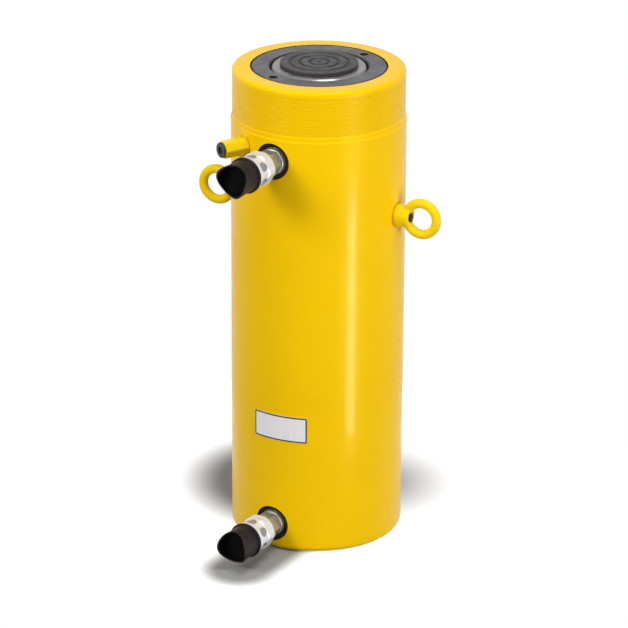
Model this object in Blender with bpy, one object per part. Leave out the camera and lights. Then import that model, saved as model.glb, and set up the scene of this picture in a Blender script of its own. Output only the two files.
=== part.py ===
"""Long stroke double acting hydraulic cylinder, retracted, standing on its base.

Metres, +Z up. The origin is the centre of the base, on the cylinder's axis. The side
with the two couplers faces -Y and a little to -X.
"""
import bpy
import bmesh
import math
from mathutils import Vector

# Gaps and play between neighbouring pieces
GAP = 0.0003
RUNNING_PLAY = 0.0003

# Small bevel on turned steel edges, and how far a cutter runs past a face
EDGE_BEVEL = 0.0008
CUTTER_RUN_OUT = 0.002
SHARP_ANGLE = math.radians(32)

# Barrel: one forging with its base
BODY_DIAMETER = 0.203
BARREL_WALL = 0.0245
BORE_DIAMETER = BODY_DIAMETER - 2 * BARREL_WALL
BASE_THICKNESS = 0.027
BASE_CORNER = 0.008
PORT_AZIMUTH = math.radians(31.6)

# Threaded collar at the top of the barrel
COLLAR_STEP = 0.00125
COLLAR_DIAMETER = BODY_DIAMETER - 2 * COLLAR_STEP
COLLAR_LENGTH = 0.060
COLLAR_CHAMFER = 0.0050
COLLAR_THREAD_DEPTH = 0.0006
COLLAR_LAND_TOP = 0.0085
COLLAR_LAND_BOTTOM = 0.0050

# Tapped holes in the base, for bolting the cylinder down
BASE_HOLE_DIAMETER = 0.014
BASE_HOLE_DEPTH = 0.019
BASE_HOLE_FROM_EDGE = 0.0221
BASE_HOLE_CIRCLE = BODY_DIAMETER - 2 * BASE_HOLE_FROM_EDGE
BASE_HOLE_COUNT = 4

# Plunger, piston and what is on them
OIL_ANNULUS = 0.021
PLUNGER_DIAMETER = BORE_DIAMETER - 2 * OIL_ANNULUS
PLUNGER_LEAD_DEPTH = 0.0010
PLUNGER_LEAD_LENGTH = 0.0045
TENON_SHOULDER = 0.016
TENON_DIAMETER = PLUNGER_DIAMETER - 2 * TENON_SHOULDER
NUT_THREAD_STEP = 0.005
NUT_THREAD_DIAMETER = TENON_DIAMETER - 2 * NUT_THREAD_STEP
PISTON_LENGTH = 0.0724
PISTON_OIL_CHAMFER = 0.006
PISTON_TOP_CHAMFER = 0.0015
STOP_TUBE_LENGTH = 0.0464
STOP_TUBE_WALL = 0.0115
STROKE = 0.333
NUT_WALL = 0.017
NUT_DIAMETER = NUT_THREAD_DIAMETER + 2 * NUT_WALL
NUT_HEIGHT = 0.0142
NUT_SLOT_WIDTH = 0.009
NUT_SLOT_DEPTH = 0.0055

# Piston seals, measured up from the piston's lower face
PISTON_GROOVE_DEPTH = 0.0072
PISTON_SEAL_HEIGHT = 0.0115
PISTON_BACKUP_HEIGHT = 0.0030
PISTON_BAND_HEIGHT = 0.0100
PISTON_BAND_THICKNESS = 0.0030
PISTON_SEAL_FROM_END = 0.0090
PISTON_O_RING_SECTION = 0.0046
SEAL_NOTCH_SHARE = 0.45

# Gland that guides the plunger, and the stop ring above it
SEAT_STEP = 0.002
SEAT_DIAMETER = BORE_DIAMETER + 2 * SEAT_STEP
GLAND_NOSE_LENGTH = 0.0200
GLAND_NOSE_RELIEF = 0.0022
GLAND_LENGTH = 0.0494
STOP_RING_HEIGHT = 0.0210
SPANNER_HOLE_DIAMETER = 0.0094
SPANNER_HOLE_DEPTH = 0.0070
SPANNER_HOLE_FROM_EDGE = 0.011
SPANNER_HOLE_CIRCLE = SEAT_DIAMETER - 2 * SPANNER_HOLE_FROM_EDGE
SPANNER_HOLE_ANGLE = math.radians(40)

# Gland seals
ROD_SEAL_SECTION = 0.0070
ROD_SEAL_HEIGHT = 0.0115
ROD_SEAL_FROM_TOP = 0.0160
ROD_BACKUP_HEIGHT = 0.0030
ROD_BAND_HEIGHT = 0.0110
ROD_BAND_THICKNESS = 0.0030
ROD_BAND_FROM_NOSE = 0.0050
GLAND_O_RING_SECTION = 0.0050
GLAND_BACKUP_HEIGHT = 0.0024
GLAND_O_RING_FROM_TOP = 0.0110
WIPER_HEIGHT = 0.0075
WIPER_SECTION = 0.0050
WIPER_FROM_TOP = 0.0050
WIPER_LIP_RISE = 0.0020

# Saddle in the top of the plunger
SADDLE_MARGIN = 0.011
SADDLE_DIAMETER = PLUNGER_DIAMETER - 2 * SADDLE_MARGIN
SADDLE_RISE = 0.0045
SADDLE_EDGE = 0.0009
SADDLE_STEM_DIAMETER = 0.046
SADDLE_STEM_LENGTH = 0.0240
SADDLE_BORE_DEPTH = 0.0280
SADDLE_GROOVE_COUNT = 3
SADDLE_GROOVE_WIDTH = 0.0036
SADDLE_GROOVE_DEPTH = 0.0014
SADDLE_DIMPLE_DIAMETER = 0.0060
SADDLE_DIMPLE_DEPTH = 0.0016
SADDLE_O_RING_SECTION = 0.0024
SADDLE_O_RING_FROM_END = 0.0070

# Ports for the two couplers
ADVANCE_PORT_ABOVE_FLOOR = 0.0052
RETRACT_PORT_ABOVE_GLAND = 0.0042
PORT_FACE_DIAMETER = 0.0430
PORT_FACE_DEPTH = 0.0042
PORT_FLOOR_DIAMETER = 0.0330
PORT_CONE_RISE = 0.0019
PORT_THREAD_DIAMETER = 0.0170
PORT_THREAD_DEPTH = 0.0140
PORT_OIL_DIAMETER = 0.0062

# Adapter between the port and the coupler
ADAPTER_HEX = 0.0270
ADAPTER_HEX_LENGTH = 0.0170
ADAPTER_COLLAR_DIAMETER = 0.0310
ADAPTER_COLLAR_LENGTH = 0.0045
ADAPTER_NECK_DIAMETER = 0.0240
ADAPTER_NECK_LENGTH = 0.0040
ADAPTER_SPIGOT_DIAMETER = 0.0196
ADAPTER_SPIGOT_LENGTH = 0.0110

# Coupler half
COUPLER_HEX = 0.0370
COUPLER_HEX_LENGTH = 0.0148
COUPLER_HEX_CORNER = 0.0200
COUPLER_HEX_CHAMFER = 0.0022
COUPLER_CHAMFER_RISE = 0.0018
COUPLER_BAND_DIAMETER = 0.0380
COUPLER_BAND_LENGTH = 0.0117
COUPLER_LIP_DIAMETER = 0.0400
COUPLER_LIP_LENGTH = 0.0054
COUPLER_NOSE_DIAMETER = 0.0300
COUPLER_NOSE_LENGTH = 0.0170
COUPLER_CHAMBER_DIAMETER = 0.0210
COUPLER_WEB = 0.0058
COUPLER_OIL_DIAMETER = 0.0070

# Valve inside the coupler
SEAT_RING_DIAMETER = 0.0236
SEAT_RING_LENGTH = 0.0074
SEAT_RING_HOLE = 0.0120
SEAT_CONE_DEPTH = 0.0026
POPPET_HEAD_DIAMETER = 0.0170
POPPET_HEAD_LENGTH = 0.0050
POPPET_STEM_DIAMETER = 0.0060
POPPET_TAIL_LENGTH = 0.0060
POPPET_TRAVEL = 0.0050
POPPET_SPRING_WIRE = 0.0014
POPPET_SPRING_DIAMETER = 0.0130
POPPET_SPRING_TURNS = 4

# Dust cap on the coupler
CAP_FLANGE_DIAMETER = 0.0412
CAP_FLANGE_LENGTH = 0.0038
CAP_BARREL_DIAMETER = 0.0364
CAP_MOUTH_DIAMETER = 0.0384
CAP_LENGTH = 0.0345
CAP_WEB = 0.0030
CAP_MOUTH_WALL = 0.0030
CAP_NOSE_ROOM = 0.0012
CAP_FISHMOUTH_RADIUS = 0.0225
ADVANCE_CAP_TURN = math.radians(5)
RETRACT_CAP_TURN = math.radians(-35)

# Relief valve of the upper chamber
RELIEF_AZIMUTH = math.radians(56.5)
RELIEF_ABOVE_GLAND = 0.0130
RELIEF_HEX = 0.0190
RELIEF_HEX_CORNER = 0.0106
RELIEF_HEX_BEVEL = 0.0012
RELIEF_BODY_LENGTH = 0.0306
RELIEF_SHANK_DIAMETER = 0.0140
RELIEF_SHANK_LENGTH = 0.0150
RELIEF_FACE_DIAMETER = 0.0240
RELIEF_FACE_DEPTH = 0.0012
RELIEF_OIL_DIAMETER = 0.0040
RELIEF_BORE_DIAMETER = 0.0096
RELIEF_SEAT_WALL = 0.0040
RELIEF_BALL_DIAMETER = 0.0070
RELIEF_BALL_TRAVEL = 0.0015
RELIEF_SPRING_WIRE = 0.0012
RELIEF_SPRING_DIAMETER = 0.0074
RELIEF_SPRING_TURNS = 5
RELIEF_SPRING_SHARE = 0.72
RELIEF_SCREW_DIAMETER = 0.0180
RELIEF_SCREW_HEAD = 0.0026
RELIEF_SOCKET_HEX = 0.0080
RELIEF_SOCKET_DEPTH = 0.0020

# Lifting eyes and their studs
EYE_TURN = math.radians(26)
EYE_BELOW_TOP = 0.1655
EYE_CENTRE_REACH = 0.0305
EYE_RING_RADIUS = 0.0190
EYE_BAR_RADIUS = 0.0052
EYE_BOSS_DIAMETER = 0.0280
EYE_BOSS_TOP_DIAMETER = 0.0200
EYE_BOSS_COLLAR = 0.0035
EYE_BOSS_EDGE = 0.0015
EYE_FLARE_SHARE = 0.35
EYE_FACE_DIAMETER = 0.0300
EYE_FACE_DEPTH = 0.0008
EYE_STUD_DIAMETER = 0.0120
EYE_STUD_DEPTH = 0.0150
EYE_STUD_PROUD = 0.0012

# Blank rating plate on the barrel
PLATE_LEFT = math.radians(45.1)
PLATE_RIGHT = math.radians(6.4)
PLATE_BOTTOM = 0.1412
PLATE_HEIGHT = 0.0320
PLATE_THICKNESS = 0.0005

# Fineness of the round surfaces
BARREL_SIDES = 48
HEAD_SIDES = 32
RING_SIDES = 24
CAP_SIDES = 20
FITTING_SIDES = 18
SMALL_SIDES = 14
HOOP_SIDES = 20
O_RING_SECTION_SIDES = 5
HOOP_SECTION_SIDES = 8
BASE_CORNER_STEPS = 3
COLLAR_CORNER_STEPS = 2
BALL_STEPS = 6
PLATE_STEPS = 10
COIL_STEPS_PER_TURN = 8

# Heights that follow from the sizes above, with the plunger in
BORE_RADIUS = BORE_DIAMETER / 2
BODY_RADIUS = BODY_DIAMETER / 2
PLUNGER_RADIUS = PLUNGER_DIAMETER / 2
PISTON_RADIUS = BORE_RADIUS - RUNNING_PLAY
SEAT_RADIUS = SEAT_DIAMETER / 2
PISTON_BOTTOM = BASE_THICKNESS + GAP
PISTON_TOP = PISTON_BOTTOM + PISTON_LENGTH
TUBE_BOTTOM = PISTON_TOP + GAP
TUBE_TOP = TUBE_BOTTOM + STOP_TUBE_LENGTH
GLAND_BOTTOM = TUBE_TOP + STROKE + GAP
SEAT_SHELF = GLAND_BOTTOM + GLAND_NOSE_LENGTH
GLAND_TOP = SEAT_SHELF + GAP + GLAND_LENGTH
STOP_RING_BOTTOM = GLAND_TOP + GAP
BODY_TOP = STOP_RING_BOTTOM + STOP_RING_HEIGHT
COLLAR_BOTTOM = BODY_TOP - COLLAR_LENGTH
ADVANCE_PORT_HEIGHT = BASE_THICKNESS + ADVANCE_PORT_ABOVE_FLOOR
RETRACT_PORT_HEIGHT = GLAND_BOTTOM + RETRACT_PORT_ABOVE_GLAND
RELIEF_HEIGHT = GLAND_BOTTOM + RELIEF_ABOVE_GLAND
EYE_HEIGHT = BODY_TOP - EYE_BELOW_TOP

# Colours of the finishes: red, green, blue, then roughness and metallic
YELLOW_PAINT = ((0.95, 0.62, 0.01), 0.30, 0.0)
BLACK_STEEL = ((0.10, 0.10, 0.11), 0.45, 0.7)
BRIGHT_STEEL = ((0.72, 0.72, 0.72), 0.22, 1.0)
ZINC_STEEL = ((0.62, 0.60, 0.50), 0.30, 1.0)
DARK_RUBBER = ((0.03, 0.03, 0.03), 0.70, 0.0)
BLACK_PLASTIC = ((0.05, 0.05, 0.05), 0.50, 0.0)
BRONZE = ((0.60, 0.38, 0.16), 0.40, 1.0)
CAST_IRON = ((0.25, 0.25, 0.26), 0.55, 0.9)
PALE_POLYMER = ((0.78, 0.76, 0.66), 0.50, 0.0)
URETHANE = ((0.20, 0.32, 0.50), 0.45, 0.0)
SATIN_ALUMINIUM = ((0.80, 0.80, 0.80), 0.35, 0.9)


def remove_objects():
    """Empty the scene that the script was opened in."""
    for thing in list(bpy.data.objects):
        bpy.data.objects.remove(thing, do_unlink=True)


def finish_material(name, finish):
    """A Principled material of one finish."""
    colour, roughness, metallic = finish
    material = bpy.data.materials.new(name + "_finish")
    material.use_nodes = True
    shader = material.node_tree.nodes["Principled BSDF"]
    shader.inputs["Base Color"].default_value = (*colour, 1.0)
    shader.inputs["Roughness"].default_value = roughness
    shader.inputs["Metallic"].default_value = metallic
    return material


def place(name, bm, finish, parent=None):
    """Turn a bmesh into a named, smooth shaded object under its parent."""
    bmesh.ops.remove_doubles(bm, verts=bm.verts, dist=1e-7)
    bmesh.ops.dissolve_degenerate(bm, edges=bm.edges, dist=1e-7)
    bmesh.ops.recalc_face_normals(bm, faces=bm.faces)
    mesh = bpy.data.meshes.new(name)
    bm.to_mesh(mesh)
    bm.free()
    mesh.shade_smooth()
    mesh.set_sharp_from_angle(angle=SHARP_ANGLE)
    thing = bpy.data.objects.new(name, mesh)
    bpy.context.collection.objects.link(thing)
    thing.parent = parent
    if finish is not None:
        mesh.materials.append(finish_material(name, finish))
    return thing


def arc(radius, height, size, start, end, steps):
    """Points of a round corner in a turned outline; angles in degrees."""
    points = []
    for step in range(steps + 1):
        angle = math.radians(start + (end - start) * step / steps)
        points.append((radius + size * math.cos(angle), height + size * math.sin(angle)))
    return points


def snug(radius, sides=RING_SIDES):
    """Corner radius of a many sided bore whose flats lie at the given radius."""
    return radius / math.cos(math.pi / sides)


def spin(bm, outline, sides):
    """Turn a closed outline of (radius, height) points about Z."""
    verts = [bm.verts.new((radius, 0.0, height)) for radius, height in outline]
    edges = []
    for first, second in zip(verts, verts[1:] + verts[:1]):
        on_axis = first.co.x < 1e-9 and second.co.x < 1e-9
        if not on_axis:
            edges.append(bm.edges.new((first, second)))
    bmesh.ops.spin(bm, geom=edges, cent=(0, 0, 0), axis=(0, 0, 1),
                   angle=2 * math.pi, steps=sides, use_merge=True)


def turned(name, outline, sides, finish, parent=None):
    """A piece turned on a lathe."""
    bm = bmesh.new()
    spin(bm, outline, sides)
    return place(name, bm, finish, parent)


def ring(name, inner, outer, low, high, sides, finish, parent=None):
    """A plain ring of square section."""
    outline = [(inner, low), (outer, low), (outer, high), (inner, high)]
    return turned(name, outline, sides, finish, parent)


def round_ring(name, centre_radius, height, section, sides, finish, parent=None):
    """An O ring: a ring of round section."""
    outline = arc(centre_radius, height, section / 2, 0, 360, O_RING_SECTION_SIDES)[:-1]
    return turned(name, outline, sides, finish, parent)


def cut(target, cutter, name):
    """Take the cutter's shape out of the target."""
    cutter.hide_render = True
    cutter.display_type = "WIRE"
    step = target.modifiers.new(name, "BOOLEAN")
    step.operation = "DIFFERENCE"
    step.solver = "EXACT"
    step.object = cutter


def join(target, piece, name):
    """Fuse a forged or moulded form onto the target."""
    piece.hide_render = True
    piece.display_type = "WIRE"
    step = target.modifiers.new(name, "BOOLEAN")
    step.operation = "UNION"
    step.solver = "EXACT"
    step.object = piece


def radial_axis(name, azimuth, height):
    """An empty on the cylinder's axis whose +Z points out of the barrel.

    The azimuth is counted from -Y towards -X. Its +Y stays upright.
    """
    axis = bpy.data.objects.new(name, None)
    axis.location = (0.0, 0.0, height)
    axis.rotation_euler = (math.pi / 2, 0.0, -azimuth)
    bpy.context.collection.objects.link(axis)
    return axis


def flats(name, across, low, high, reach, parent, corners=6):
    """Cutter that mills a hexagon on a turned piece, between two heights."""
    bm = bmesh.new()
    corner = across / 2 / math.cos(math.pi / corners)
    loops = []
    for radius, height in ((corner, low), (reach, low), (reach, high), (corner, high)):
        loop = []
        for side in range(corners):
            angle = 2 * math.pi * side / corners
            spot = (radius * math.cos(angle), radius * math.sin(angle), height)
            loop.append(bm.verts.new(spot))
        loops.append(loop)
    for first, second in zip(loops, loops[1:] + loops[:1]):
        for side in range(corners):
            after = (side + 1) % corners
            bm.faces.new((first[side], first[after], second[after], second[side]))
    return place(name, bm, None, parent)


def prism(name, across, low, high, parent, corners=6):
    """A bar with flats, used as a cutter for a socket."""
    corner = across / 2 / math.cos(math.pi / corners)
    outline = [(0.0, low), (corner, low), (corner, high), (0.0, high)]
    return turned(name, outline, corners, None, parent)


def pins(name, spots, radius, low, high, sides, parent=None):
    """Cutter of several round pins along Z at the given places."""
    bm = bmesh.new()
    for spot in spots:
        before = set(bm.verts)
        outline = [(0.0, low), (radius, low), (radius, high), (0.0, high)]
        spin(bm, outline, sides)
        fresh = [vert for vert in bm.verts if vert not in before]
        bmesh.ops.translate(bm, verts=fresh, vec=Vector((spot[0], spot[1], 0.0)))
    return place(name, bm, None, parent)


def circle_of_spots(diameter, count, start):
    """Places spaced evenly on a circle."""
    spots = []
    for index in range(count):
        angle = start + 2 * math.pi * index / count
        spots.append((diameter / 2 * math.cos(angle), diameter / 2 * math.sin(angle)))
    return spots


def coil(name, diameter, wire, low, high, turns, finish, parent):
    """A compression spring along Z, its wire centred on a helix."""
    count = turns * COIL_STEPS_PER_TURN
    climb = high - low - wire
    curve = bpy.data.curves.new(name, "CURVE")
    curve.dimensions = "3D"
    curve.bevel_depth = wire / 2
    curve.bevel_resolution = 0
    curve.use_fill_caps = True
    spline = curve.splines.new("POLY")
    spline.points.add(count)
    for step in range(count + 1):
        angle = 2 * math.pi * step / COIL_STEPS_PER_TURN
        height = low + wire / 2 + climb * step / count
        reach = (diameter - wire) / 2
        spot = (reach * math.cos(angle), reach * math.sin(angle), height)
        spline.points[step].co = (*spot, 1.0)
    thing = bpy.data.objects.new(name, curve)
    bpy.context.collection.objects.link(thing)
    thing.parent = parent
    curve.materials.append(finish_material(name, finish))
    return thing


def port_cutter(name, axis):
    """Coned counterbore, tapped hole and oil way of one coupler port."""
    floor = BODY_RADIUS - PORT_FACE_DEPTH
    thread_end = floor - PORT_THREAD_DEPTH
    oil_end = BORE_RADIUS - CUTTER_RUN_OUT
    face = PORT_FACE_DIAMETER / 2
    thread = PORT_THREAD_DIAMETER / 2
    oil = PORT_OIL_DIAMETER / 2
    outline = [(0.0, oil_end), (oil, oil_end), (oil, thread_end), (thread, thread_end),
               (thread, floor), (PORT_FLOOR_DIAMETER / 2, floor),
               (face, floor + PORT_CONE_RISE), (face, BODY_RADIUS + CUTTER_RUN_OUT),
               (0.0, BODY_RADIUS + CUTTER_RUN_OUT)]
    return turned(name, outline, FITTING_SIDES, None, axis)


def relief_cutter(axis):
    """Seat, tapped hole and oil way of the relief valve."""
    floor = BODY_RADIUS - RELIEF_FACE_DEPTH
    thread_end = floor - RELIEF_SHANK_LENGTH - GAP
    oil_end = BORE_RADIUS - CUTTER_RUN_OUT
    face = RELIEF_FACE_DIAMETER / 2
    thread = RELIEF_SHANK_DIAMETER / 2 + GAP
    oil = RELIEF_OIL_DIAMETER / 2
    outline = [(0.0, oil_end), (oil, oil_end), (oil, thread_end), (thread, thread_end),
               (thread, floor), (face, floor), (face, BODY_RADIUS + CUTTER_RUN_OUT),
               (0.0, BODY_RADIUS + CUTTER_RUN_OUT)]
    return turned("relief_port_cut", outline, SMALL_SIDES, None, axis)


def eye_cutter(name, axis):
    """Spot face and tapped hole for one lifting eye's stud."""
    floor = BODY_RADIUS - EYE_FACE_DEPTH
    end = floor - EYE_STUD_DEPTH - GAP
    face = EYE_FACE_DIAMETER / 2
    thread = EYE_STUD_DIAMETER / 2 + GAP
    outline = [(0.0, end), (thread, end), (thread, floor), (face, floor),
               (face, BODY_RADIUS + CUTTER_RUN_OUT), (0.0, BODY_RADIUS + CUTTER_RUN_OUT)]
    return turned(name, outline, SMALL_SIDES, None, axis)


def body_outline():
    """Half section of the barrel, base and collar."""
    collar = COLLAR_DIAMETER / 2
    root = collar - COLLAR_THREAD_DEPTH
    thread_low = COLLAR_BOTTOM + COLLAR_LAND_BOTTOM
    thread_high = BODY_TOP - COLLAR_LAND_TOP
    outline = [(0.0, 0.0)]
    outline += arc(BODY_RADIUS - BASE_CORNER, BASE_CORNER, BASE_CORNER, -90, 0, BASE_CORNER_STEPS)
    outline += [(BODY_RADIUS, COLLAR_BOTTOM),
                (collar, COLLAR_BOTTOM),
                (collar, thread_low),
                (root, thread_low + COLLAR_THREAD_DEPTH),
                (root, thread_high - COLLAR_THREAD_DEPTH),
                (collar, thread_high)]
    outline += arc(collar - COLLAR_CHAMFER, BODY_TOP - COLLAR_CHAMFER, COLLAR_CHAMFER,
                   0, 90, COLLAR_CORNER_STEPS)
    outline += [(SEAT_RADIUS + EDGE_BEVEL, BODY_TOP),
                (SEAT_RADIUS, BODY_TOP - EDGE_BEVEL),
                (SEAT_RADIUS, SEAT_SHELF),
                (BORE_RADIUS, SEAT_SHELF)]
    outline += [(BORE_RADIUS, BASE_THICKNESS), (0.0, BASE_THICKNESS)]
    return outline


def make_cylinder_body(port_axes, relief_axis, eye_axes):
    """Barrel, base and collar in one forging, with every port drilled."""
    body = turned("cylinder_body", body_outline(), BARREL_SIDES, YELLOW_PAINT)
    for axis in port_axes:
        cut(body, port_cutter(axis.name + "_cut", axis), axis.name)
    cut(body, relief_cutter(relief_axis), "relief_port")
    for axis in eye_axes:
        cut(body, eye_cutter(axis.name + "_cut", axis), axis.name)
    start = math.radians(45) - PORT_AZIMUTH
    spots = circle_of_spots(BASE_HOLE_CIRCLE, BASE_HOLE_COUNT, start)
    holes = pins("base_hole_cut", spots, BASE_HOLE_DIAMETER / 2, -CUTTER_RUN_OUT,
                 BASE_HOLE_DEPTH, SMALL_SIDES)
    cut(body, holes, "base_holes")
    return body


def make_stop_ring():
    """Threaded ring that keeps the gland in and stops the plunger."""
    inner = PLUNGER_RADIUS + 2 * RUNNING_PLAY
    outer = SEAT_RADIUS - GAP
    wiper_top = BODY_TOP - WIPER_FROM_TOP
    wiper_low = wiper_top - WIPER_HEIGHT - 2 * GAP
    wiper_depth = WIPER_SECTION + GAP
    outline = [(inner, STOP_RING_BOTTOM), (outer, STOP_RING_BOTTOM),
               (outer, BODY_TOP - EDGE_BEVEL), (outer - EDGE_BEVEL, BODY_TOP),
               (inner + EDGE_BEVEL, BODY_TOP), (inner, BODY_TOP - EDGE_BEVEL),
               (inner, wiper_top), (inner + wiper_depth, wiper_top),
               (inner + wiper_depth, wiper_low), (inner, wiper_low)]
    stop = turned("stop_ring", outline, HEAD_SIDES, BLACK_STEEL)
    spots = circle_of_spots(SPANNER_HOLE_CIRCLE, 2, SPANNER_HOLE_ANGLE)
    holes = pins("spanner_hole_cut", spots, SPANNER_HOLE_DIAMETER / 2,
                 BODY_TOP - SPANNER_HOLE_DEPTH, BODY_TOP + CUTTER_RUN_OUT, SMALL_SIDES)
    cut(stop, holes, "spanner_holes")
    return stop


def make_rod_wiper():
    """Scraper in the stop ring that keeps dirt off the plunger."""
    inner = snug(PLUNGER_RADIUS + RUNNING_PLAY)
    outer = PLUNGER_RADIUS + RUNNING_PLAY + WIPER_SECTION
    top = BODY_TOP - WIPER_FROM_TOP - GAP
    low = top - WIPER_HEIGHT
    heel = inner + 2 * RUNNING_PLAY
    outline = [(heel, low), (outer, low), (outer, top),
               ((inner + outer) / 2, top), (inner, top - WIPER_LIP_RISE / 2),
               (heel, top - 2 * WIPER_LIP_RISE)]
    return turned("rod_wiper", outline, RING_SIDES, URETHANE)


def gland_heights():
    """Heights of the gland's inner and outer grooves."""
    seal_high = GLAND_TOP - ROD_SEAL_FROM_TOP
    seal_low = seal_high - ROD_SEAL_HEIGHT - ROD_BACKUP_HEIGHT - 3 * GAP
    band_low = GLAND_BOTTOM + ROD_BAND_FROM_NOSE
    band_high = band_low + ROD_BAND_HEIGHT + 2 * GAP
    ring_high = GLAND_TOP - GLAND_O_RING_FROM_TOP
    ring_low = ring_high - GLAND_O_RING_SECTION - GLAND_BACKUP_HEIGHT - 3 * GAP
    return seal_low, seal_high, band_low, band_high, ring_low, ring_high


def make_gland_bearing():
    """Bronze gland: guides the plunger and carries its seals."""
    seal_low, seal_high, band_low, band_high, ring_low, ring_high = gland_heights()
    inner = snug(PLUNGER_RADIUS + RUNNING_PLAY + GAP)
    outer = SEAT_RADIUS - GAP
    nose = BORE_RADIUS - GLAND_NOSE_RELIEF
    seal = PLUNGER_RADIUS + RUNNING_PLAY + ROD_SEAL_SECTION + GAP
    band = PLUNGER_RADIUS + RUNNING_PLAY + ROD_BAND_THICKNESS + GAP
    groove = outer - GLAND_O_RING_SECTION
    outline = [(inner, GLAND_BOTTOM), (nose, GLAND_BOTTOM), (nose, SEAT_SHELF + GAP),
               (outer, SEAT_SHELF + GAP), (outer, ring_low), (groove, ring_low),
               (groove, ring_high), (outer, ring_high), (outer, GLAND_TOP),
               (inner, GLAND_TOP), (inner, seal_high), (seal, seal_high),
               (seal, seal_low), (inner, seal_low), (inner, band_high),
               (band, band_high), (band, band_low), (inner, band_low)]
    return turned("gland_bearing", outline, RING_SIDES, BRONZE)


def lip_seal(name, inner, outer, low, high, finish, parent=None, lips_up=False):
    """A U cup: a square ring with a V notch between two lips."""
    middle = (inner + outer) / 2
    notch = (high - low) * SEAL_NOTCH_SHARE
    if lips_up:
        outline = [(inner, low), (outer, low), (outer, high), (middle, high - notch),
                   (inner, high)]
    else:
        outline = [(inner, high), (outer, high), (outer, low), (middle, low + notch),
                   (inner, low)]
    return turned(name, outline, RING_SIDES, finish, parent)


def make_gland_seals():
    """Rod seal, its backup ring, the guide band and the outer O ring."""
    seal_low, seal_high, band_low, band_high, ring_low, ring_high = gland_heights()
    inner = snug(PLUNGER_RADIUS + RUNNING_PLAY)
    seal = PLUNGER_RADIUS + RUNNING_PLAY + ROD_SEAL_SECTION
    band = PLUNGER_RADIUS + RUNNING_PLAY + ROD_BAND_THICKNESS
    seal_top = seal_low + GAP + ROD_SEAL_HEIGHT
    lip_seal("rod_seal", inner, seal, seal_low + GAP, seal_top, URETHANE)
    ring("rod_backup_ring", inner, seal, seal_top + GAP, seal_high - GAP,
         RING_SIDES, PALE_POLYMER)
    ring("rod_guide_band", inner, band, band_low + GAP,
         band_high - GAP, RING_SIDES, PALE_POLYMER)
    section = GLAND_O_RING_SECTION - GAP
    middle = SEAT_RADIUS - GAP - GLAND_O_RING_SECTION + GAP + section / 2
    round_ring("gland_o_ring", middle, ring_low + GAP + section / 2,
               section, RING_SIDES, DARK_RUBBER)
    backup_low = ring_low + GLAND_O_RING_SECTION + GAP
    ring("gland_backup_ring", middle - section / 2, SEAT_RADIUS - GAP,
         backup_low, backup_low + GLAND_BACKUP_HEIGHT, RING_SIDES, PALE_POLYMER)


def make_plunger():
    """Hard chromed plunger with a tenon for the piston and its nut."""
    tenon = TENON_DIAMETER / 2
    thread = NUT_THREAD_DIAMETER / 2
    shoulder = PISTON_TOP + GAP
    thread_top = PISTON_BOTTOM + NUT_HEIGHT + 2 * GAP
    bore = SADDLE_STEM_DIAMETER / 2 + RUNNING_PLAY
    bore_floor = BODY_TOP - SADDLE_BORE_DEPTH
    outline = [(0.0, PISTON_BOTTOM), (thread, PISTON_BOTTOM), (thread, thread_top),
               (tenon, thread_top), (tenon, shoulder), (PLUNGER_RADIUS, shoulder),
               (PLUNGER_RADIUS, BODY_TOP - PLUNGER_LEAD_LENGTH),
               (PLUNGER_RADIUS - PLUNGER_LEAD_DEPTH, BODY_TOP), (bore, BODY_TOP),
               (bore, bore_floor), (0.0, bore_floor)]
    return turned("plunger", outline, HEAD_SIDES, BRIGHT_STEEL)


def piston_heights():
    """Heights of the piston's grooves: advance seal, guide band, retract seal."""
    stack = PISTON_SEAL_HEIGHT + PISTON_BACKUP_HEIGHT + 3 * GAP
    low_start = PISTON_BOTTOM + PISTON_SEAL_FROM_END
    high_end = PISTON_TOP - PISTON_SEAL_FROM_END
    middle = (low_start + high_end) / 2
    band_half = PISTON_BAND_HEIGHT / 2 + GAP
    return (low_start, low_start + stack, middle - band_half, middle + band_half,
            high_end - stack, high_end)


def make_piston(axis):
    """Piston on the plunger's tenon, with grooves for its seals."""
    low1, high1, band_low, band_high, low2, high2 = piston_heights()
    groove = PISTON_RADIUS - PISTON_GROOVE_DEPTH
    band = PISTON_RADIUS - PISTON_BAND_THICKNESS - GAP
    bore = snug(TENON_DIAMETER / 2 + GAP)
    pocket = NUT_DIAMETER / 2 + GAP
    pocket_top = PISTON_BOTTOM + NUT_HEIGHT + 2 * GAP
    ring_low = (band_low + band_high) / 2 - PISTON_O_RING_SECTION / 2 - GAP
    ring_high = ring_low + PISTON_O_RING_SECTION + 2 * GAP
    ring_groove = bore + PISTON_O_RING_SECTION
    outline = [(pocket, PISTON_BOTTOM), (PISTON_RADIUS - PISTON_OIL_CHAMFER, PISTON_BOTTOM),
               (PISTON_RADIUS, PISTON_BOTTOM + PISTON_OIL_CHAMFER),
               (PISTON_RADIUS, low1), (groove, low1), (groove, high1), (PISTON_RADIUS, high1),
               (PISTON_RADIUS, band_low), (band, band_low), (band, band_high),
               (PISTON_RADIUS, band_high),
               (PISTON_RADIUS, low2), (groove, low2), (groove, high2), (PISTON_RADIUS, high2),
               (PISTON_RADIUS, PISTON_TOP - PISTON_TOP_CHAMFER),
               (PISTON_RADIUS - PISTON_TOP_CHAMFER, PISTON_TOP), (bore, PISTON_TOP),
               (bore, ring_high), (ring_groove, ring_high), (ring_groove, ring_low),
               (bore, ring_low), (bore, pocket_top), (pocket, pocket_top)]
    turned("piston", outline, RING_SIDES, CAST_IRON, axis)
    section = PISTON_O_RING_SECTION - GAP
    round_ring("piston_o_ring", bore + section / 2, (ring_low + ring_high) / 2,
               section, RING_SIDES, DARK_RUBBER, axis)


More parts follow.
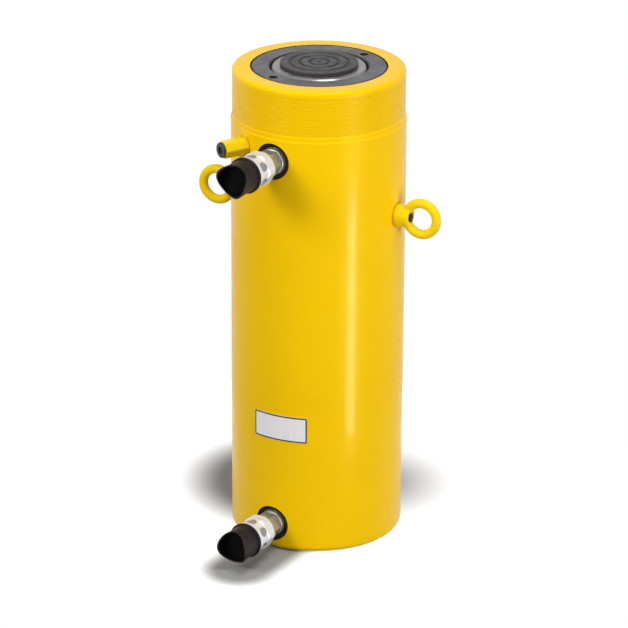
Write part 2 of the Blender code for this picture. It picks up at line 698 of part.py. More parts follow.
def make_piston_seals(axis):
    """Two U cups with backup rings, back to back, and the guide band."""
    low1, high1, band_low, band_high, low2, high2 = piston_heights()
    inner = PISTON_RADIUS - PISTON_GROOVE_DEPTH + GAP
    outer = PISTON_RADIUS
    lip_seal("advance_seal", inner, outer, low1 + GAP, low1 + GAP + PISTON_SEAL_HEIGHT,
             URETHANE, axis)
    ring("advance_backup_ring", inner, outer, high1 - GAP - PISTON_BACKUP_HEIGHT,
         high1 - GAP, RING_SIDES, PALE_POLYMER, axis)
    lip_seal("retract_seal", inner, outer, high2 - GAP - PISTON_SEAL_HEIGHT, high2 - GAP,
             URETHANE, axis, lips_up=True)
    ring("retract_backup_ring", inner, outer, low2 + GAP,
         low2 + GAP + PISTON_BACKUP_HEIGHT, RING_SIDES, PALE_POLYMER, axis)
    ring("piston_guide_band", outer - PISTON_BAND_THICKNESS, outer, band_low + GAP,
         band_high - GAP, RING_SIDES, BRONZE, axis)


def make_piston_nut(axis):
    """Slotted round nut that clamps the piston against the plunger's shoulder."""
    inner = snug(NUT_THREAD_DIAMETER / 2 + GAP)
    low = PISTON_BOTTOM + GAP
    nut = ring("piston_nut", inner, NUT_DIAMETER / 2, low, low + NUT_HEIGHT,
               RING_SIDES, BLACK_STEEL, axis)
    reach = NUT_DIAMETER / 2 + CUTTER_RUN_OUT
    start = NUT_DIAMETER / 2 - NUT_SLOT_DEPTH
    bm = bmesh.new()
    for quarter in range(4):
        corners = []
        for along, side, height in ((start, -1, -1), (reach, -1, -1), (reach, 1, -1),
                                    (start, 1, -1), (start, -1, 1), (reach, -1, 1),
                                    (reach, 1, 1), (start, 1, 1)):
            x, y = along, side * NUT_SLOT_WIDTH / 2
            turn = math.pi / 2 * quarter + math.pi / 4
            spot = (x * math.cos(turn) - y * math.sin(turn),
                    x * math.sin(turn) + y * math.cos(turn),
                    low + NUT_HEIGHT / 2 + height * NUT_HEIGHT)
            corners.append(bm.verts.new(spot))
        for face in ((0, 3, 2, 1), (4, 5, 6, 7), (0, 1, 5, 4),
                     (1, 2, 6, 5), (2, 3, 7, 6), (3, 0, 4, 7)):
            bm.faces.new([corners[index] for index in face])
    cut(nut, place("nut_slot_cut", bm, None, axis), "slots")
    return nut


def make_stop_tube(axis):
    """Sleeve above the piston that sets the end of the stroke."""
    inner = snug(PLUNGER_RADIUS + GAP)
    return ring("stop_tube", inner, inner + STOP_TUBE_WALL, TUBE_BOTTOM, TUBE_TOP,
                RING_SIDES, CAST_IRON, axis)


def make_saddle(axis):
    """Grooved saddle with its stem in the plunger's bore."""
    low = BODY_TOP + GAP
    top = low + SADDLE_RISE
    outer = SADDLE_DIAMETER / 2
    stem = SADDLE_STEM_DIAMETER / 2
    stem_end = low - SADDLE_STEM_LENGTH
    ring_middle = stem_end + SADDLE_O_RING_FROM_END
    ring_half = SADDLE_O_RING_SECTION / 2 + GAP
    ring_root = stem + RUNNING_PLAY / 2 - SADDLE_O_RING_SECTION - 2 * GAP
    outline = [(0.0, stem_end), (stem - SADDLE_EDGE, stem_end), (stem, stem_end + SADDLE_EDGE),
               (stem, ring_middle - ring_half), (ring_root, ring_middle - ring_half),
               (ring_root, ring_middle + ring_half), (stem, ring_middle + ring_half),
               (stem, low), (outer, low), (outer, top - SADDLE_EDGE), (outer - SADDLE_EDGE, top)]
    for number in range(SADDLE_GROOVE_COUNT, 0, -1):
        middle = outer * number / (SADDLE_GROOVE_COUNT + 1)
        half = SADDLE_GROOVE_WIDTH / 2
        outline += [(middle + half, top), (middle, top - SADDLE_GROOVE_DEPTH),
                    (middle - half, top)]
    outline += [(SADDLE_DIMPLE_DIAMETER / 2, top), (0.0, top - SADDLE_DIMPLE_DEPTH)]
    turned("saddle", outline, HEAD_SIDES, BLACK_STEEL, axis)
    middle_radius = stem + RUNNING_PLAY / 2 - SADDLE_O_RING_SECTION / 2
    round_ring("saddle_o_ring", middle_radius, ring_middle, SADDLE_O_RING_SECTION,
               RING_SIDES, DARK_RUBBER, axis)


def coupler_lengths():
    """Places along a coupler's axis, from the cylinder's centre line."""
    adapter_seat = BODY_RADIUS - PORT_FACE_DEPTH + GAP
    hex_start = adapter_seat + ADAPTER_COLLAR_LENGTH
    neck_start = hex_start + ADAPTER_HEX_LENGTH
    coupler_start = neck_start + ADAPTER_NECK_LENGTH + GAP
    band_start = coupler_start + COUPLER_HEX_LENGTH
    lip_start = band_start + COUPLER_BAND_LENGTH
    nose_start = lip_start + COUPLER_LIP_LENGTH
    nose_end = nose_start + COUPLER_NOSE_LENGTH
    return adapter_seat, hex_start, neck_start, coupler_start, band_start, lip_start, \
        nose_start, nose_end


def make_adapter(name, axis):
    """Zinc plated adapter screwed into the port."""
    seat, hex_start, neck_start, coupler_start = coupler_lengths()[:4]
    shank = PORT_THREAD_DIAMETER / 2 - GAP
    shank_end = seat - PORT_THREAD_DEPTH
    oil = PORT_OIL_DIAMETER / 2
    collar = ADAPTER_COLLAR_DIAMETER / 2
    corner = ADAPTER_HEX / 2 / math.cos(math.pi / 6)
    neck = ADAPTER_NECK_DIAMETER / 2
    spigot = ADAPTER_SPIGOT_DIAMETER / 2
    neck_end = neck_start + ADAPTER_NECK_LENGTH
    spigot_end = coupler_start + ADAPTER_SPIGOT_LENGTH
    bevel = corner - ADAPTER_HEX / 2
    outline = [(oil, shank_end), (shank, shank_end), (shank, seat), (collar, seat),
               (collar, hex_start), (corner - bevel, hex_start),
               (corner, hex_start + bevel / 2), (corner, neck_start - bevel / 2),
               (corner - bevel, neck_start), (neck, neck_start), (neck, neck_end),
               (spigot, neck_end), (spigot, spigot_end), (oil, spigot_end)]
    adapter = turned(name + "_adapter", outline, FITTING_SIDES, ZINC_STEEL, axis)
    mill = flats(name + "_adapter_mill", ADAPTER_HEX, hex_start + GAP, neck_start + GAP,
                 corner * 2, axis)
    cut(adapter, mill, "hexagon")
    return adapter


def make_coupler_body(name, axis):
    """Plated steel coupler half with a hexagon, a lip and a screwed nose."""
    _, _, _, start, band_start, lip_start, nose_start, nose_end = coupler_lengths()
    corner = COUPLER_HEX_CORNER
    band = COUPLER_BAND_DIAMETER / 2
    lip = COUPLER_LIP_DIAMETER / 2
    nose = COUPLER_NOSE_DIAMETER / 2
    spigot = ADAPTER_SPIGOT_DIAMETER / 2 + GAP
    spigot_end = start + ADAPTER_SPIGOT_LENGTH + 2 * GAP
    chamber = COUPLER_CHAMBER_DIAMETER / 2
    chamber_start = spigot_end + COUPLER_WEB
    pocket = SEAT_RING_DIAMETER / 2 + GAP
    pocket_start = nose_end - SEAT_RING_LENGTH - 2 * GAP
    oil = COUPLER_OIL_DIAMETER / 2
    rise = COUPLER_CHAMFER_RISE
    rim = EDGE_BEVEL
    outline = [(spigot, start), (corner - COUPLER_HEX_CHAMFER, start), (corner, start + rise),
               (corner, band_start - rise), (band, band_start), (band, lip_start),
               (lip - rim, lip_start),
               (lip, lip_start + rim), (lip, nose_start - rim), (lip - rim, nose_start),
               (nose, nose_start), (nose, nose_end - rim), (nose - rim, nose_end),
               (pocket, nose_end), (pocket, pocket_start), (chamber, pocket_start),
               (chamber, chamber_start), (oil, chamber_start), (oil, spigot_end),
               (spigot, spigot_end)]
    coupler = turned(name + "_coupler_body", outline, FITTING_SIDES, BRIGHT_STEEL, axis)
    mill = flats(name + "_coupler_mill", COUPLER_HEX, start - GAP, band_start - GAP,
                 corner * 2, axis)
    cut(coupler, mill, "hexagon")
    return coupler


def make_coupler_valve(name, axis):
    """Seat ring, poppet and spring that close the coupler when it is bare."""
    start, nose_end = coupler_lengths()[3], coupler_lengths()[7]
    seat_end = nose_end - GAP
    seat_start = seat_end - SEAT_RING_LENGTH
    hole = SEAT_RING_HOLE / 2
    head = POPPET_HEAD_DIAMETER / 2
    stem = POPPET_STEM_DIAMETER / 2
    cone = hole + SEAT_CONE_DEPTH
    ring_outline = [(cone, seat_start), (SEAT_RING_DIAMETER / 2, seat_start),
                    (SEAT_RING_DIAMETER / 2, seat_end), (hole, seat_end),
                    (hole, seat_start + SEAT_CONE_DEPTH)]
    turned(name + "_valve_seat", ring_outline, SMALL_SIDES, BRONZE, axis)
    head_start = seat_start - GAP - POPPET_HEAD_LENGTH
    head_end = seat_start - GAP
    cone_end = seat_start + SEAT_CONE_DEPTH - GAP
    tail_start = head_start - POPPET_TAIL_LENGTH
    poppet_outline = [(0.0, tail_start), (stem, tail_start), (stem, head_start),
                      (head, head_start), (head, head_end), (cone - GAP, head_end),
                      (hole - GAP, cone_end), (stem, cone_end), (stem, seat_end - GAP),
                      (0.0, seat_end - GAP)]
    turned(name + "_poppet", poppet_outline, SMALL_SIDES, BRIGHT_STEEL, axis)
    floor = start + ADAPTER_SPIGOT_LENGTH + 2 * GAP + COUPLER_WEB
    coil(name + "_poppet_spring", POPPET_SPRING_DIAMETER, POPPET_SPRING_WIRE,
         floor + POPPET_TRAVEL + GAP, head_start - GAP, POPPET_SPRING_TURNS,
         BRIGHT_STEEL, axis)


def make_dust_cap(name, axis, turn):
    """Moulded cap: a socket over the coupler's nose, a web and a fish mouth grip."""
    nose_start = coupler_lengths()[6]
    face = nose_start + GAP
    flange = CAP_FLANGE_DIAMETER / 2
    barrel = CAP_BARREL_DIAMETER / 2
    mouth = CAP_MOUTH_DIAMETER / 2
    socket = COUPLER_NOSE_DIAMETER / 2 + GAP
    socket_end = nose_start + COUPLER_NOSE_LENGTH + CAP_NOSE_ROOM
    recess = mouth - CAP_MOUTH_WALL
    recess_start = socket_end + CAP_WEB
    end = face + CAP_LENGTH
    tip = end + CUTTER_RUN_OUT
    rim = EDGE_BEVEL
    outline = [(socket, face), (flange - rim, face), (flange, face + rim),
               (flange, face + CAP_FLANGE_LENGTH - rim),
               (flange - rim, face + CAP_FLANGE_LENGTH), (barrel, face + CAP_FLANGE_LENGTH),
               (barrel, recess_start), (mouth, recess_start + (end - recess_start) / 2),
               (mouth, tip), (recess, tip), (recess, recess_start),
               (0.0, recess_start), (0.0, socket_end), (socket, socket_end)]
    cap = turned(name + "_dust_cap", outline, CAP_SIDES, BLACK_PLASTIC, axis)
    cap.rotation_euler = (0.0, 0.0, turn)
    drop = math.sqrt(CAP_FISHMOUTH_RADIUS ** 2 - mouth ** 2)
    reach = mouth * 2
    bm = bmesh.new()
    spin(bm, [(0.0, -reach), (CAP_FISHMOUTH_RADIUS, -reach),
              (CAP_FISHMOUTH_RADIUS, reach), (0.0, reach)], CAP_SIDES)
    cutter = place(name + "_fishmouth_cut", bm, None, cap)
    cutter.rotation_euler = (math.pi / 2, 0.0, 0.0)
    cutter.location = (0.0, 0.0, end + drop)
    cut(cap, cutter, "fish_mouth")
    return cap


def relief_lengths():
    """Places along the relief valve's axis, from the cylinder's centre line."""
    seat = BODY_RADIUS - RELIEF_FACE_DEPTH + GAP
    shank_end = seat - RELIEF_SHANK_LENGTH
    bore_start = shank_end + RELIEF_SEAT_WALL
    body_end = seat + RELIEF_BODY_LENGTH
    return seat, shank_end, bore_start, body_end


def make_relief_body(axis):
    """Hexagon body screwed into the barrel, drilled for ball and spring."""
    seat, shank_end, bore_start, body_end = relief_lengths()
    shank = RELIEF_SHANK_DIAMETER / 2
    corner = RELIEF_HEX_CORNER
    oil = RELIEF_OIL_DIAMETER / 2
    bore = RELIEF_BORE_DIAMETER / 2
    bevel = RELIEF_HEX_BEVEL
    outline = [(oil, shank_end), (shank, shank_end), (shank, seat),
               (corner - bevel, seat), (corner, seat + bevel),
               (corner, body_end - bevel), (corner - bevel, body_end),
               (bore, body_end), (bore, bore_start), (oil, bore_start)]
    body = turned("relief_valve_body", outline, SMALL_SIDES, YELLOW_PAINT, axis)
    mill = flats("relief_mill", RELIEF_HEX, seat + GAP, body_end + GAP, corner * 2, axis)
    cut(body, mill, "hexagon")
    return body


def make_relief_inside(axis):
    """Ball and spring that open the relief valve."""
    bore_start = relief_lengths()[2]
    ball = RELIEF_BALL_DIAMETER / 2
    lift = math.sqrt(ball ** 2 - (RELIEF_OIL_DIAMETER / 2) ** 2)
    middle = bore_start + lift + GAP
    outline = arc(0.0, middle, ball, -90, 90, BALL_STEPS)
    outline[0] = (0.0, middle - ball)
    outline[-1] = (0.0, middle + ball)
    turned("relief_ball", outline, SMALL_SIDES, BRIGHT_STEEL, axis)
    screw_end = relief_screw_end()
    # the spring's first coil sits round the crown of the ball
    seat_radius = RELIEF_SPRING_DIAMETER / 2 - RELIEF_SPRING_WIRE
    crown = math.sqrt(max(ball ** 2 - seat_radius ** 2, 0.0))
    coil("relief_spring", RELIEF_SPRING_DIAMETER, RELIEF_SPRING_WIRE,
         middle + crown + 2 * GAP, screw_end - RELIEF_BALL_TRAVEL - GAP,
         RELIEF_SPRING_TURNS, BRIGHT_STEEL, axis)


def relief_screw_end():
    """Where the adjusting screw's inner end bears on the spring."""
    bore_start, body_end = relief_lengths()[2:]
    return bore_start + (body_end - bore_start) * RELIEF_SPRING_SHARE


def make_relief_screw(axis):
    """Blackened adjusting screw that closes the relief valve."""
    body_end = relief_lengths()[3]
    head = RELIEF_SCREW_DIAMETER / 2
    stem = RELIEF_BORE_DIAMETER / 2 - GAP
    face = body_end + GAP
    end = face + RELIEF_SCREW_HEAD
    rim = EDGE_BEVEL
    outline = [(0.0, relief_screw_end()), (stem, relief_screw_end()), (stem, face),
               (head, face), (head, end - rim), (head - rim, end), (0.0, end)]
    screw = turned("relief_adjusting_screw", outline, SMALL_SIDES, BLACK_STEEL, axis)
    socket = prism("relief_socket_cut", RELIEF_SOCKET_HEX, end - RELIEF_SOCKET_DEPTH,
                   end + CUTTER_RUN_OUT, axis)
    cut(screw, socket, "socket")
    return screw


def make_lifting_eye(name, axis):
    """Forged eye: a round bar ring growing out of a coned boss."""
    seat = BODY_RADIUS - EYE_FACE_DEPTH + GAP
    centre = BODY_RADIUS + EYE_CENTRE_REACH
    boss_top = centre - EYE_RING_RADIUS + EYE_BAR_RADIUS
    boss = EYE_BOSS_DIAMETER / 2
    neck = EYE_BOSS_TOP_DIAMETER / 2
    hole = EYE_STUD_DIAMETER / 2 + GAP
    waist = seat + EYE_BOSS_COLLAR
    outline = [(hole, seat), (boss, seat), (boss, waist),
               ((boss + neck) / 2, waist + (boss_top - waist) * EYE_FLARE_SHARE),
               (neck, boss_top - EYE_BOSS_EDGE), (neck - EYE_BOSS_EDGE, boss_top),
               (hole, boss_top)]
    eye = turned(name, outline, SMALL_SIDES, YELLOW_PAINT, axis)
    bm = bmesh.new()
    spin(bm, arc(EYE_RING_RADIUS, 0.0, EYE_BAR_RADIUS, 0, 360, HOOP_SECTION_SIDES)[:-1], HOOP_SIDES)
    hoop = place(name + "_hoop", bm, None, axis)
    hoop.rotation_euler = (0.0, math.pi / 2, 0.0)
    hoop.location = (0.0, 0.0, centre)
    join(eye, hoop, "hoop")
    drill_low = seat - CUTTER_RUN_OUT
    drill_high = boss_top + CUTTER_RUN_OUT
    outline = [(0.0, drill_low), (hole, drill_low), (hole, drill_high), (0.0, drill_high)]
    drill = turned(name + "_drill", outline, SMALL_SIDES, None, axis)
    cut(eye, drill, "stud_hole")
    return eye


def make_eye_stud(name, axis):
    """Stud that holds the eye to the barrel; its end shows inside the ring."""
    seat = BODY_RADIUS - EYE_FACE_DEPTH
    low = seat - EYE_STUD_DEPTH
    boss_top = BODY_RADIUS + EYE_CENTRE_REACH - EYE_RING_RADIUS + EYE_BAR_RADIUS
    end = boss_top + EYE_STUD_PROUD
    radius = EYE_STUD_DIAMETER / 2
    rim = EDGE_BEVEL
    outline = [(0.0, low), (radius, low), (radius, end - rim), (radius - rim, end), (0.0, end)]
    return turned(name, outline, SMALL_SIDES, BLACK_STEEL, axis)


def make_rating_plate():
    """Thin blank plate bent to the barrel."""
    inner = BODY_RADIUS + GAP
    outer = inner + PLATE_THICKNESS
    bm = bmesh.new()
    columns = []
    for step in range(PLATE_STEPS + 1):
        azimuth = PLATE_LEFT + (PLATE_RIGHT - PLATE_LEFT) * step / PLATE_STEPS
        column = []
        for radius, height in ((inner, PLATE_BOTTOM), (outer, PLATE_BOTTOM),
                               (outer, PLATE_BOTTOM + PLATE_HEIGHT),
                               (inner, PLATE_BOTTOM + PLATE_HEIGHT)):
            spot = (-radius * math.sin(azimuth), -radius * math.cos(azimuth), height)
            column.append(bm.verts.new(spot))
        columns.append(column)
    for first, second in zip(columns, columns[1:]):
        for side in range(4):
            after = (side + 1) % 4
            bm.faces.new((first[side], first[after], second[after], second[side]))
    bm.faces.new(columns[0])
    bm.faces.new(columns[-1])
    return place("rating_plate", bm, SATIN_ALUMINIUM)


def build():
    """Put the cylinder together, from the barrel outwards."""
    remove_objects()
    advance_axis = radial_axis("advance_port", PORT_AZIMUTH, ADVANCE_PORT_HEIGHT)
    retract_axis = radial_axis("retract_port", PORT_AZIMUTH, RETRACT_PORT_HEIGHT)
    relief_axis = radial_axis("relief_port", RELIEF_AZIMUTH, RELIEF_HEIGHT)
    left_axis = radial_axis("left_eye", math.pi / 2 + EYE_TURN, EYE_HEIGHT)
    right_axis = radial_axis("right_eye", EYE_TURN - math.pi / 2, EYE_HEIGHT)
    plunger_axis = bpy.data.objects.new("plunger_axis", None)
    bpy.context.collection.objects.link(plunger_axis)

    make_cylinder_body((advance_axis, retract_axis), relief_axis, (left_axis, right_axis))
    make_stop_ring()
    make_rod_wiper()
    make_gland_bearing()
    make_gland_seals()
    make_plunger().parent = plunger_axis
    make_piston(plunger_axis)
    make_piston_seals(plunger_axis)
    make_piston_nut(plunger_axis)
    make_stop_tube(plunger_axis)
    make_saddle(plunger_axis)
    for name, axis, turn in (("advance", advance_axis, ADVANCE_CAP_TURN),
                             ("retract", retract_axis, RETRACT_CAP_TURN)):
        make_adapter(name, axis)
        make_coupler_body(name, axis)
        make_coupler_valve(name, axis)
        make_dust_cap(name, axis, turn)
    make_relief_body(relief_axis)
    make_relief_inside(relief_axis)
    make_relief_screw(relief_axis)
    for side, axis in (("left", left_axis), ("right", right_axis)):
        make_lifting_eye("lifting_eye_" + side, axis)
        make_eye_stud("eye_stud_" + side, axis)
    make_rating_plate()


build()
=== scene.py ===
import bpy
import bmesh
import math
from mathutils import Matrix, Vector


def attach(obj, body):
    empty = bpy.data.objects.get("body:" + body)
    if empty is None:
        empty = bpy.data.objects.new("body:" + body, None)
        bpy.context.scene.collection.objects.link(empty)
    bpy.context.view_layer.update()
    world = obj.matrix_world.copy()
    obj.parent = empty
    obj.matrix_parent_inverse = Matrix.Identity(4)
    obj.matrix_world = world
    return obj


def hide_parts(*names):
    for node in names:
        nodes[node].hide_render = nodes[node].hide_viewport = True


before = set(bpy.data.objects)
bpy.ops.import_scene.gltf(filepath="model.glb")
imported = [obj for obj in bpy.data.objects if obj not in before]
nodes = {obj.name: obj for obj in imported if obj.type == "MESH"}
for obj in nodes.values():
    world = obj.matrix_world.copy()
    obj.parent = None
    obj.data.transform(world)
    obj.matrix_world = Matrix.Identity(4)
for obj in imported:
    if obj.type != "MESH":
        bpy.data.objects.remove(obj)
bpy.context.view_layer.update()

# Barrel, base and collar.
# One steel forging: bored from the top, turned outside, drilled for two hose ports, a relief
# valve and two lifting eyes, then sprayed with glossy yellow enamel. The machined faces in the
# ports, the bore and the foot stay bare. The ports' mouths are near black, and the top of the
# stop ring's seat is near black too, as painted shade for the gap round the stop ring.
BARREL_RADIUS = 0.1015
BARREL_FOOT_ROUNDING = 0.008
BARREL_SIDES = 192
BORE_RADIUS = 0.077
BORE_FLOOR = 0.027
GLAND_SEAT_RADIUS = 0.079
GLAND_SHELF = 0.4997
COLLAR_RADIUS = 0.10025
COLLAR_LOW = 0.5107
COLLAR_TOP = 0.5707
COLLAR_ROUNDING = 0.0050
THREAD_ROOT_RADIUS = 0.09965
THREAD_LOW = 0.5157
THREAD_HIGH = 0.5622
PORT_AZIMUTH = math.radians(31.6)
PORT_HEIGHTS = {"advance": 0.0322, "retract": 0.4839}
PORT_THREAD_RADIUS = 0.0085
PORT_THREAD_FLOOR = 0.0833
PORT_FACE = 0.0973
PORT_FACE_RADIUS = 0.0165
PORT_BARE_RADIUS = 0.0158
PORT_CONE_RADIUS = 0.0215
PORT_CONE_EDGE = 0.0992
OIL_HOLE_RADIUS = 0.0031
RELIEF_AZIMUTH = math.radians(56.5)
RELIEF_HEIGHT = 0.4927
RELIEF_THREAD_RADIUS = 0.0073
RELIEF_THREAD_FLOOR = 0.085
RELIEF_FACE = 0.1003
RELIEF_FACE_RADIUS = 0.012
RELIEF_OIL_HOLE_RADIUS = 0.002
EYE_AZIMUTHS = {"left": math.radians(116), "right": math.radians(-64)}
EYE_HEIGHT = 0.4052
EYE_FACE = 0.1007
EYE_FACE_RADIUS = 0.015
STUD_HOLE_RADIUS = 0.0063
STUD_HOLE_FLOOR = 0.0854
DRILL_START = 0.075
DRILL_END = 0.1035
FOOT_HOLE_RADIUS = 0.007
FOOT_HOLE_DEPTH = 0.019
FOOT_HOLE_POINT = 0.003
FOOT_HOLE_CLEARANCE = 0.002
FOOT_HOLE_CIRCLE = 0.0794
FOOT_HOLE_START = math.radians(13.4)

ENAMEL_YELLOW = (0.94, 0.580, 0.001)
ENAMEL_SHADE = (0.91, 0.550, 0.001)
ENAMEL_GLINT = (1.0, 0.72, 0.12)
PORT_STEEL = (0.17, 0.155, 0.165)
PORT_STEEL_PALE = (0.24, 0.22, 0.22)
PORT_BLACK_AND_SEAT_SHADE = (0.009, 0.006, 0.003)
PORT_BLACK_AND_SEAT_SHADE_PALE = (0.020, 0.012, 0.006)
HONED_STEEL = (0.52, 0.52, 0.52)
HONED_STEEL_PALE = (0.60, 0.60, 0.60)


def along(azimuth, height):
    """The place of a fitting: its Z points out from the barrel's axis, its Y stays upright."""
    lift = Matrix.Translation((0.0, 0.0, height))
    turn = Matrix.Rotation(-azimuth, 4, "Z")
    tip = Matrix.Rotation(math.pi / 2, 4, "X")
    return lift @ turn @ tip


def softened(corners, steps):
    """Outline points with each corner rounded by the third number it carries."""
    points = []
    for index, corner in enumerate(corners):
        here = Vector(corner[:2])
        rounding = corner[2] if len(corner) > 2 else 0.0
        if rounding == 0.0:
            points.append(here)
            continue
        before = (Vector(corners[index - 1][:2]) - here).normalized()
        after = (Vector(corners[(index + 1) % len(corners)][:2]) - here).normalized()
        half = before.angle(after) / 2
        middle = here + (before + after).normalized() * rounding / math.sin(half)
        start = here + before * rounding / math.tan(half) - middle
        end = here + after * rounding / math.tan(half) - middle
        first = math.atan2(start.y, start.x)
        sweep = math.atan2(end.y, end.x) - first
        sweep = (sweep + math.pi) % (2 * math.pi) - math.pi
        for step in range(steps + 1):
            angle = first + sweep * step / steps
            points.append(middle + rounding * Vector((math.cos(angle), math.sin(angle))))
    return points


def shown(name, bm, place=None):
    """A named object from a finished bmesh, set at its place on the cylinder."""
    bmesh.ops.recalc_face_normals(bm, faces=bm.faces)
    mesh = bpy.data.meshes.new(name)
    bm.to_mesh(mesh)
    bm.free()
    piece = bpy.data.objects.new(name, mesh)
    bpy.context.collection.objects.link(piece)
    if place is not None:
        piece.matrix_world = place
    return piece


def turned(name, outline, sides, place=None, steps=4):
    """A piece turned on a lathe. The outline holds corners, or gives them for each angle."""
    bm = bmesh.new()
    columns = []
    for side in range(sides):
        angle = 2 * math.pi * side / sides
        corners = outline(angle) if callable(outline) else outline
        column = []
        for index, (radius, height) in enumerate(softened(corners, steps)):
            if radius < 1e-7 and columns:
                column.append(columns[0][index])
            else:
                spot = (radius * math.cos(angle), radius * math.sin(angle), height)
                column.append(bm.verts.new(spot))
        columns.append(column)
    for first, second in zip(columns, columns[1:] + columns[:1]):
        for low in range(len(first)):
            high = (low + 1) % len(first)
            loop = [first[low], second[low], second[high], first[high]]
            loop = list(dict.fromkeys(loop))
            if len(loop) > 2:
                bm.faces.new(loop)
    return shown(name, bm, place)


def machined(piece, tools, operation="DIFFERENCE"):
    """Cut the tools out of a piece for good. A cut face keeps the tool's material."""
    for tool in tools:
        step = piece.modifiers.new("machining", "BOOLEAN")
        step.operation = operation
        step.solver = "EXACT"
        step.material_mode = "TRANSFER"
        step.object = tool
    bpy.context.view_layer.update()
    graph = bpy.context.evaluated_depsgraph_get()
    shape = bpy.data.meshes.new_from_object(piece.evaluated_get(graph))
    piece.modifiers.clear()
    piece.data = shape
    for tool in tools:
        bpy.data.objects.remove(tool, do_unlink=True)
    return piece


def polished(piece, sharp=35):
    """Smooth shading that breaks only at real edges and keeps flat faces flat."""
    piece.data.shade_smooth()
    piece.data.set_sharp_from_angle(angle=math.radians(sharp))
    weigh = piece.modifiers.new("flat_faces_stay_flat", "WEIGHTED_NORMAL")
    weigh.keep_sharp = True
    weigh.weight = 80
    return piece


def bare_material(name, colour, roughness, metallic, specular=0.5):
    """A Principled material to start a finish from."""
    material = bpy.data.materials.new(name)
    material.use_nodes = True
    shader = material.node_tree.nodes["Principled BSDF"]
    shader.inputs["Base Color"].default_value = (*colour, 1.0)
    shader.inputs["Roughness"].default_value = roughness
    shader.inputs["Metallic"].default_value = metallic
    shader.inputs["Specular IOR Level"].default_value = specular
    return material, material.node_tree, shader


def grain(tree, scale, detail=2.0, stretch=(1.0, 1.0, 1.0)):
    """Noise in the piece's own coordinates; a small stretch number draws it out."""
    spot = tree.nodes.new("ShaderNodeTexCoord")
    shape = tree.nodes.new("ShaderNodeMapping")
    shape.inputs["Scale"].default_value = stretch
    noise = tree.nodes.new("ShaderNodeTexNoise")
    noise.inputs["Scale"].default_value = scale
    noise.inputs["Detail"].default_value = detail
    tree.links.new(spot.outputs["Object"], shape.inputs["Vector"])
    tree.links.new(shape.outputs["Vector"], noise.inputs["Vector"])
    return noise.outputs["Fac"]


def tint(tree, shader, source, first, second, low=0.35, high=0.65):
    """Colour that drifts from one tone to another with the grain."""
    ramp = tree.nodes.new("ShaderNodeValToRGB")
    ramp.color_ramp.elements[0].position = low
    ramp.color_ramp.elements[0].color = (*first, 1.0)
    ramp.color_ramp.elements[1].position = high
    ramp.color_ramp.elements[1].color = (*second, 1.0)
    tree.links.new(source, ramp.inputs["Fac"])
    tree.links.new(ramp.outputs["Color"], shader.inputs["Base Color"])
    return ramp.outputs["Color"]


def sheen_range(tree, shader, source, low, high):
    """Roughness that wanders between two values with the grain."""
    spread = tree.nodes.new("ShaderNodeMapRange")
    spread.inputs["From Min"].default_value = 0.3
    spread.inputs["From Max"].default_value = 0.7
    spread.inputs["To Min"].default_value = low
    spread.inputs["To Max"].default_value = high
    tree.links.new(source, spread.inputs["Value"])
    tree.links.new(spread.outputs["Result"], shader.inputs["Roughness"])


def relief(tree, shader, source, depth, strength):
    """Small height in the surface, added on any height it already has."""
    bump = tree.nodes.new("ShaderNodeBump")
    bump.inputs["Distance"].default_value = depth
    bump.inputs["Strength"].default_value = strength
    tree.links.new(source, bump.inputs["Height"])
    if shader.inputs["Normal"].is_linked:
        earlier = shader.inputs["Normal"].links[0].from_socket
        tree.links.new(earlier, bump.inputs["Normal"])
    tree.links.new(bump.outputs["Normal"], shader.inputs["Normal"])


def yellow_enamel(name, shade, bright, peel_scale, peel_depth):
    """Sprayed gloss enamel: slow drift in tone, fine orange peel, dull patches from handling."""
    material, tree, shader = bare_material(name, bright, 0.25, 0.0, specular=0.12)
    tint(tree, shader, grain(tree, 7.0, 5.0), shade, bright)
    sheen_range(tree, shader, grain(tree, 38.0, 6.0), 0.24, 0.36)
    relief(tree, shader, grain(tree, peel_scale, 2.0), peel_depth, 0.30)
    shader.inputs["Specular Tint"].default_value = (*ENAMEL_GLINT, 1.0)
    shader.inputs["Coat Weight"].default_value = 0.04
    shader.inputs["Coat Roughness"].default_value = 0.08
    return material


def turned_metal(name, colour, pale, roughness, line_scale, line_depth, metallic=1.0, specular=0.5):
    """Lathe work: fine rings round the piece's own axis, with a little handling wear."""
    material, tree, shader = bare_material(name, colour, roughness, metallic, specular)
    tint(tree, shader, grain(tree, 55.0, 6.0), colour, pale, 0.40, 0.75)
    sheen_range(tree, shader, grain(tree, 90.0, 4.0), roughness * 0.8, roughness * 1.25)
    spot = tree.nodes.new("ShaderNodeTexCoord")
    rings = tree.nodes.new("ShaderNodeTexWave")
    rings.wave_type = "RINGS"
    rings.rings_direction = "Z"
    rings.inputs["Scale"].default_value = line_scale
    rings.inputs["Distortion"].default_value = 1.5
    rings.inputs["Detail"].default_value = 2.0
    rings.inputs["Detail Scale"].default_value = 3.0
    tree.links.new(spot.outputs["Object"], rings.inputs["Vector"])
    relief(tree, shader, rings.outputs["Fac"], line_depth, 0.5)
    return material


barrel_enamel = yellow_enamel("barrel_enamel", ENAMEL_SHADE, ENAMEL_YELLOW, 260.0, 0.00006)
port_steel = turned_metal("port_steel", PORT_STEEL, PORT_STEEL_PALE, roughness=0.40,
                          line_scale=900.0, line_depth=0.00004, metallic=0.7)
port_black_and_seat_shade = turned_metal("port_black_and_seat_shade", PORT_BLACK_AND_SEAT_SHADE, PORT_BLACK_AND_SEAT_SHADE_PALE, roughness=0.55,
                          line_scale=900.0, line_depth=0.00003, metallic=0.0, specular=0.20)
bore_steel = turned_metal("bore_steel", HONED_STEEL, HONED_STEEL_PALE, roughness=0.28,
                          line_scale=500.0, line_depth=0.00003)

